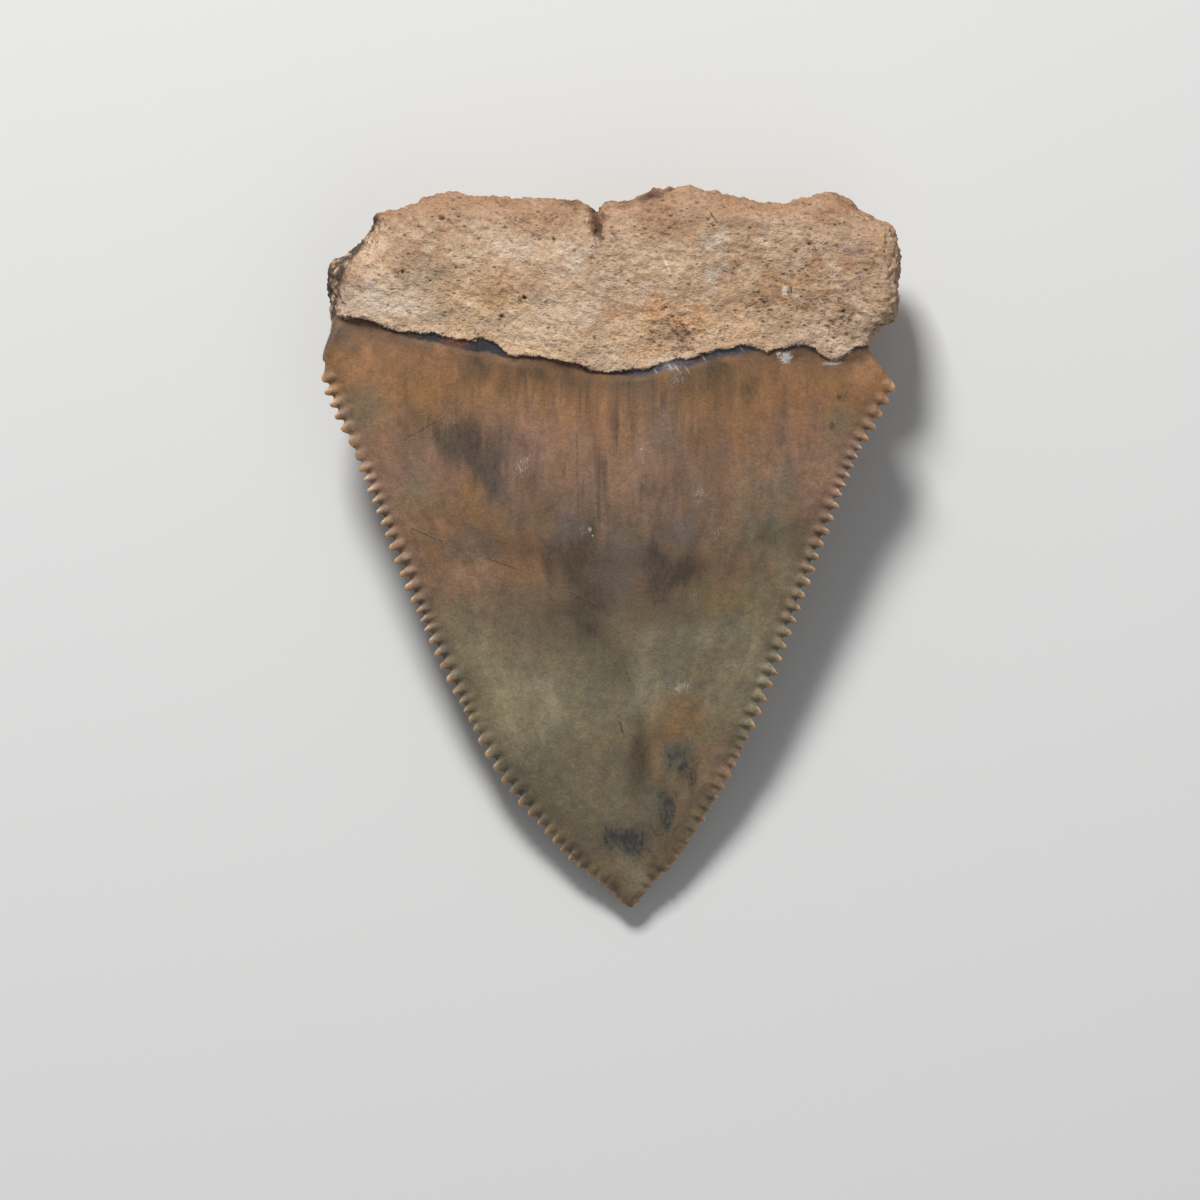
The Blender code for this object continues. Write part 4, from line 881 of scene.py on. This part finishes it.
dentineMarks = [
    ("darkBrown", 7.4, 23.7, 0.13, 0.9, 35, 0.9), ("bleached", 4.0, 20.4, 0.13, 1.2, 25, 1.0),
    ("bleached", 12.5, 18.5, 0.36, 0.48, 0, 1.2), ("pitBrown", 12.95, 18.5, 0.12, 0.45, 0, 0.9),
    ("pitBrown", 10.2, 17.5, 0.9, 0.10, 28, 0.6), ("darkBrown", -7.8, 16.6, 0.6, 0.12, -25, 0.6),
    ("darkBrown", 0.2, 22.5, 0.40, 0.12, -35, 0.8),
    # the stained groove in the root's top edge, and the stains along it
    ("rootBrown", -1.0, 23.7, 0.60, 2.0, 8, 0.85), ("darkBrown", -0.9, 22.9, 0.34, 1.0, -5, 0.7),
    ("darkBrown", -1.2, 24.5, 0.42, 1.0, 15, 0.7), ("darkBrown", 3.0, 25.3, 1.4, 0.5, 10, 0.8),
    ("rootBrown", 1.2, 24.8, 1.3, 0.5, 25, 0.7), ("rootBrown", -2.8, 24.9, 1.5, 0.45, -8, 0.7),
]


def startMaterial(name):
    material = bpy.data.materials.new(name)
    material.use_nodes = True
    tree = material.node_tree
    metres = addNode(tree, "TexCoord", {}, 3)
    place = addNode(tree, "VectorMath", {0: metres, 3: 1 / mm}, operation="SCALE")
    return material, tree, place


def shadeBy(tree, colour, start, end, *noises):  # each noise with its darkest and lightest shade
    for value, darkest, lightest in noises:
        shade = addNode(tree, "MapRange",
                        {"Value": value, "From Min": start, "From Max": end, "To Min": darkest,
                         "To Max": lightest})
        colour = addNode(tree, "Mix", {mixBy: 1.0, mixFrom: colour, mixTo: shade}, mixOut,
                         data_type="RGBA", blend_type="MULTIPLY")
    return colour


def paintMarks(tree, colour, place, marks, uneven):  # ellipses, and a texture frays their rims
    frames = {0: place}
    for name, x, y, across, along, turn, strength in marks:
        if turn not in frames:
            frames[turn] = addNode(tree, "Mapping",
                                   {"Vector": place, "Rotation": (0, 0, math.radians(-turn))})
        centre = Matrix.Rotation(math.radians(-turn), 2) @ Vector((x, y))
        away = addNode(tree, "VectorMath",
                       {0: frames[turn], 1: (1 / across, 1 / along, 0.0),
                        2: (-centre.x / across, -centre.y / along, 0.0)}, operation="MULTIPLY_ADD")
        reach = addNode(tree, "VectorMath", {0: away}, 1, operation="LENGTH")
        reach = addNode(tree, "Math", {0: reach, 1: uneven})
        cover = addNode(tree, "MapRange",
                        {"Value": reach, "From Min": 1.0, "From Max": 0.1, "To Min": 0.0,
                         "To Max": strength}, interpolation_type="SMOOTHSTEP")
        colour = addNode(tree, "Mix",
                         {mixBy: cover, mixFrom: colour, mixTo: linear(palette[name])}, mixOut,
                         data_type="RGBA")
    return colour


def paintStrip(tree, colour, uneven):  # the dark strip where enamel meets root
    # both materials draw it, so it runs smoothly over the seam between them
    neck = addNode(tree, "Attribute", {}, 2, attribute_name="neck")
    width = addNode(tree, "Attribute", {}, 2, attribute_name="strip")
    dark = addNode(tree, "Attribute", {}, attribute_name="stripColour")
    wavy = addNode(tree, "Math", {0: uneven, 1: 0.35, 2: neck}, operation="MULTIPLY_ADD")
    low = addNode(tree, "Math", {0: wavy, 1: width}, operation="ADD")
    below = addNode(tree, "MapRange", {"Value": low, "From Min": 0.06, "From Max": 0.22},
                    interpolation_type="SMOOTHSTEP")
    above = addNode(tree, "MapRange",
                    {"Value": wavy, "From Min": 0.04, "From Max": 0.14, "To Min": 1.0,
                     "To Max": 0.0}, interpolation_type="SMOOTHSTEP")
    cover = addNode(tree, "Math", {0: below, 1: above}, operation="MULTIPLY")
    dark = shadeBy(tree, dark, -0.35, 0.35, (uneven, 0.45, 1.5))
    painted = addNode(tree, "Mix", {mixBy: cover, mixFrom: colour, mixTo: dark}, mixOut,
                      data_type="RGBA")
    return painted, cover


enamelFinish = {
    # noises in waves per mm, the last three stretched along x, y and z
    "smoke": 1.6,
    "specks": 5.5,
    "soot": (4.2, 2.0, 3.0),
    "streaks": (4.6, 0.13, 0.5),     # 0.1 to 0.4 mm wide, in loose groups below the neck
    "scratches": (10.0, 3.6, 4.0),
    "scratchTurn": 0.9,              # radians
    "smokeShades": (0.76, 1.24),
    "speckShades": (0.84, 1.16),
    # stain, the noise that breaks it up and by how much, where it starts and is full, its most,
    # and its colour
    "layers": [
        ("streaky", "streaks", -1.8, 0.15, 0.95, 0.42, "umber"),
        ("dark", "smoke", 1.2, 0.0, 1.1, 0.56, "umber"),
        ("dark", "soot", 2.6, 0.45, 1.3, 0.55, "umber"),
        ("slate", "smoke", 0.8, 0.0, 1.0, 0.5, "slate"),
        ("slate", "soot", 3.4, 0.4, 1.3, 0.85, "slate"),
        # painted glints, broken up by the scratches
        ("frostAndGlint", "scratches", 2.2, 0.60, 1.3, 0.6, "frostAndGlint"),
    ],
    "bump": 0.00004,                 # metres
    "roughness": (0.54, 0.68),
    "strip": 0.25,                   # how much rougher the dark strip is
    "polish": -0.36,                 # and the serrations, which wear has polished
    "ior": 1.55,                     # weathered apatite
}


def makeEnamel():
    # Fossil tooth enamel: hard and satin smooth, so its colours lie under a soft sheen. Minerals
    # have stained it in smoky clouds, fine streaks run down from the root, and slate-blue specks
    # sit near the tip.
    finish = enamelFinish
    material, tree, place = startMaterial("fossil enamel")
    colour = addNode(tree, "Attribute", {}, attribute_name="enamelColour")
    smoky = addNode(tree, "TexNoise",
                    {"Vector": place, "Scale": finish["smoke"], "Detail": 5.0, "Roughness": 0.72})
    specks = addNode(tree, "TexNoise",
                     {"Vector": place, "Scale": finish["specks"], "Detail": 2.0,
                      "Roughness": 0.65})
    smeared = addNode(tree, "Mapping", {"Vector": place, "Scale": finish["soot"]})
    sooty = addNode(tree, "TexNoise",
                    {"Vector": smeared, "Scale": 1.0, "Detail": 3.0, "Roughness": 0.75})
    colour = shadeBy(tree, colour, 0.3, 0.7, (smoky, *finish["smokeShades"]),
                     (specks, *finish["speckShades"]))
    flow = addNode(tree, "Mapping", {"Vector": place, "Scale": finish["streaks"]})
    streaks = addNode(tree, "TexNoise",
                      {"Vector": flow, "Scale": 1.0, "Detail": 3.0, "Roughness": 0.75})
    # scratches that scatter the light in the relief, and that also break up the painted glints
    wearAndPaintedLight = addNode(tree, "Mapping",
                   {"Vector": place, "Rotation": (0, 0, finish["scratchTurn"]),
                    "Scale": finish["scratches"]})
    scratches = addNode(tree, "TexNoise",
                        {"Vector": wearAndPaintedLight, "Scale": 1.0, "Detail": 2.0, "Roughness": 0.7})
    # each stain, and the painted glints, is painted where its amount, broken up by its noise, is
    # high enough
    noises = {"smoke": smoky, "soot": sooty, "streaks": streaks, "scratches": scratches}
    for stain, noiseName, spread, low, high, most, colourName in finish["layers"]:
        amount = addNode(tree, "Attribute", {}, 2, attribute_name=stain)
        centred = addNode(tree, "Math", {0: noises[noiseName], 1: 0.5}, operation="SUBTRACT")
        broken = addNode(tree, "Math", {0: centred, 1: spread, 2: amount},
                         operation="MULTIPLY_ADD")
        gate = addNode(tree, "Math", {0: amount, 1: 4.0}, operation="MULTIPLY", use_clamp=True)
        cover = addNode(tree, "MapRange",
                        {"Value": broken, "From Min": low, "From Max": high, "To Min": 0.0,
                         "To Max": most}, interpolation_type="SMOOTHSTEP")
        cover = addNode(tree, "Math", {0: cover, 1: gate}, operation="MULTIPLY")
        stained = linear(palette[colourName])
        colour = addNode(tree, "Mix", {mixBy: cover, mixFrom: colour, mixTo: stained}, mixOut,
                         data_type="RGBA")
    uneven = addNode(tree, "MapRange",
                     {"Value": specks, "From Min": 0.3, "From Max": 0.7, "To Min": -0.35,
                      "To Max": 0.35})
    colour, strip = paintStrip(tree, colour, uneven)
    colour = paintMarks(tree, colour, place, enamelMarks, uneven)

    relief = addNode(tree, "Math", {0: scratches, 1: 0.6, 2: specks}, operation="MULTIPLY_ADD")
    normal = addNode(tree, "Bump", {"Height": relief, "Strength": 0.6, "Distance": finish["bump"]})
    smoothest, roughest = finish["roughness"]
    rough = addNode(tree, "MapRange",
                    {"Value": smoky, "From Min": 0.3, "From Max": 0.7, "To Min": smoothest,
                     "To Max": roughest})
    rough = addNode(tree, "Math", {0: strip, 1: finish["strip"], 2: rough},
                    operation="MULTIPLY_ADD")
    polish = addNode(tree, "Attribute", {}, 2, attribute_name="polish")
    rough = addNode(tree, "Math", {0: polish, 1: finish["polish"], 2: rough},
                    operation="MULTIPLY_ADD")
    shader = tree.nodes["Principled BSDF"]
    shader.inputs["IOR"].default_value = finish["ior"]
    tree.links.new(colour, shader.inputs["Base Color"])
    tree.links.new(rough, shader.inputs["Roughness"])
    tree.links.new(normal, shader.inputs["Normal"])
    return material


dentineFinish = {
    # noises in waves per mm, the grain stretched along x, y and z
    "patches": 2.2,
    "grain": (3.6, 6.5, 4.5),
    "crumbs": 5.5,
    "patchShades": (0.78, 1.18),
    "grainShades": (0.86, 1.12),
    "crumbShades": (0.78, 1.18),
    "mottling": (3.0, 0.45, 1.15, 0.85),  # how broken up, where it starts and is full, its most
    "poreSpacing": 0.42,                  # the fine ones, in waves per wave of the grain
    "poreDark": 0.8,
    "bump": 0.00011,                      # metres
    "roughness": 0.88,
    "ior": 1.5,
}


def makeDentine():
    # Fossil root dentine: a dull, crumbly, chalky surface. It is cream to brown, grained on the
    # slant, peppered with pores about 0.2 mm across, and dark where iron has soaked in. Its sides
    # are painted darker besides, partly as shade.
    finish = dentineFinish
    material, tree, place = startMaterial("root dentine")
    colour = addNode(tree, "Attribute", {}, attribute_name="dentineColour")
    patchy = addNode(tree, "TexNoise",
                     {"Vector": place, "Scale": finish["patches"], "Detail": 5.0,
                      "Roughness": 0.75})
    slant = addNode(tree, "Mapping",
                    {"Vector": place, "Scale": finish["grain"],
                     "Rotation": (0, 0, -math.radians(rootRelief["grainTurn"]))})
    grain = addNode(tree, "TexNoise",
                    {"Vector": slant, "Scale": 1.0, "Detail": 3.0, "Roughness": 0.65})
    crumbs = addNode(tree, "TexNoise",
                     {"Vector": place, "Scale": finish["crumbs"], "Detail": 3.0, "Roughness": 0.7})
    colour = shadeBy(tree, colour, 0.32, 0.68, (patchy, *finish["patchShades"]),
                     (grain, *finish["grainShades"]), (crumbs, *finish["crumbShades"]))

    # brown mottling, broken up by the crumbs and the grain
    spread, low, high, most = finish["mottling"]
    amount = addNode(tree, "Attribute", {}, 2, attribute_name="mottled")
    blotchy = addNode(tree, "Math", {0: crumbs, 1: grain}, operation="ADD")
    centred = addNode(tree, "Math", {0: blotchy, 1: 1.0}, operation="SUBTRACT")
    broken = addNode(tree, "Math", {0: centred, 1: spread, 2: amount}, operation="MULTIPLY_ADD")
    cover = addNode(tree, "MapRange",
                    {"Value": broken, "From Min": low, "From Max": high, "To Min": 0.0,
                     "To Max": most}, interpolation_type="SMOOTHSTEP")
    colour = addNode(tree, "Mix",
                     {mixBy: cover, mixFrom: colour, mixTo: linear(palette["rootBrown"])}, mixOut,
                     data_type="RGBA")
    uneven = addNode(tree, "MapRange",
                     {"Value": crumbs, "From Min": 0.3, "From Max": 0.7, "To Min": -0.4,
                      "To Max": 0.4})
    colour = paintMarks(tree, colour, place, dentineMarks, uneven)

    # pores: the sculpted ones, their brown painted darker with depth as shade in the holes, and
    # finer ones that are only dark
    cells = addNode(tree, "TexVoronoi",
                    {"Vector": slant, "Scale": finish["poreSpacing"], "Randomness": 1.0})
    fine = addNode(tree, "MapRange",
                   {"Value": cells, "From Min": 0.36, "From Max": 0.16, "To Min": 0.0,
                    "To Max": finish["poreDark"]})
    crowded = addNode(tree, "Math", {0: amount, 1: 0.14, 2: patchy}, operation="MULTIPLY_ADD")
    sparse = addNode(tree, "MapRange", {"Value": crowded, "From Min": 0.47, "From Max": 0.59})
    fine = addNode(tree, "Math", {0: fine, 1: sparse}, operation="MULTIPLY")
    depth = addNode(tree, "Attribute", {}, 2, attribute_name="pit")
    sculpted = addNode(tree, "MapRange",
                       {"Value": depth, "From Min": 0.03, "From Max": 0.15, "To Min": 0.0,
                        "To Max": finish["poreDark"]})
    pores = addNode(tree, "Math", {0: fine, 1: sculpted}, operation="MAXIMUM")
    colour = addNode(tree, "Mix",
                     {mixBy: pores, mixFrom: colour, mixTo: linear(palette["pitBrown"])}, mixOut,
                     data_type="RGBA")
    colour, _ = paintStrip(tree, colour, uneven)

    relief = addNode(tree, "Math", {0: crumbs, 1: 1.2, 2: grain}, operation="MULTIPLY_ADD")
    normal = addNode(tree, "Bump", {"Height": relief, "Strength": 1.0, "Distance": finish["bump"]})
    shader = tree.nodes["Principled BSDF"]
    shader.inputs["Roughness"].default_value = finish["roughness"]
    shader.inputs["IOR"].default_value = finish["ior"]
    tree.links.new(colour, shader.inputs["Base Color"])
    tree.links.new(normal, shader.inputs["Normal"])
    return material


def paint(body, neck):
    body.data.materials.append(makeEnamel())
    body.data.materials.append(makeDentine())
    isRoot = neck > 0.0
    corners = np.empty(len(body.data.loops), np.int32)
    body.data.loops.foreach_get("vertex_index", corners)
    starts = np.empty(len(body.data.polygons), np.int32)
    body.data.polygons.foreach_get("loop_start", starts)
    body.data.polygons.foreach_set("material_index", isRoot[corners[starts]].astype(np.int32))
    body.data.polygons.foreach_set("use_smooth", [True] * len(body.data.polygons))
    body.data.update()


paint(body, neck)
print("painted")

body.scale = (mm,) * 3
selectOnly(body)
bpy.ops.object.transform_apply(location=False, rotation=False, scale=True)
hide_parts("shark_tooth")
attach(body, "root")

studio = {
    "floor": 2.0,                   # metres across
    "card": "#DADAD8",
    "sky": "#EAECF1",               # the light from all round
    "skyStrength": 0.23,
    "cameraHeight": 0.965,
    "lens": 400.0,
    "lookAt": (-0.00076, -0.00371),
    "lamps": [                      # name, watts, size, the direction it stands in, distance
        ("key", 4.3, 0.14, (-0.28, 1.0, 0.85), 0.6),
        ("fill", 0.8, 0.8, (0.5, -0.7, 1.0), 0.8),
    ],
}


def addFloor():
    bpy.ops.mesh.primitive_plane_add(size=studio["floor"], location=(0, 0, 0))
    floor = bpy.context.object
    floor.name = "floor"
    card = bpy.data.materials.new("matt white card")
    card.use_nodes = True
    shader = card.node_tree.nodes["Principled BSDF"]
    shader.inputs["Base Color"].default_value = linear(studio["card"])
    shader.inputs["Roughness"].default_value = 0.9
    floor.data.materials.append(card)


def addLamp(name, power, size, direction, distance):
    lamp = bpy.data.lights.new(name, "AREA")
    lamp.energy = power
    lamp.size = size
    holder = bpy.data.objects.new(name, lamp)
    holder.location = Vector(direction).normalized() * distance
    holder.rotation_euler = Vector(direction).to_track_quat("Z", "Y").to_euler()
    bpy.context.scene.collection.objects.link(holder)


def addCamera():
    camera = bpy.data.objects.new("camera", bpy.data.cameras.new("camera"))
    camera.data.lens = studio["lens"]
    camera.data.clip_start = 0.01
    camera.location = (*studio["lookAt"], studio["cameraHeight"])
    bpy.context.scene.collection.objects.link(camera)
    bpy.context.scene.camera = camera


addFloor()
for lamp in studio["lamps"]:
    addLamp(*lamp)
addCamera()
world = bpy.data.worlds.new("studio")
world.use_nodes = True
sky = world.node_tree.nodes["Background"]
sky.inputs["Color"].default_value = linear(studio["sky"])
sky.inputs["Strength"].default_value = studio["skyStrength"]
bpy.context.scene.world = world
bpy.context.scene.view_settings.view_transform = "Standard"
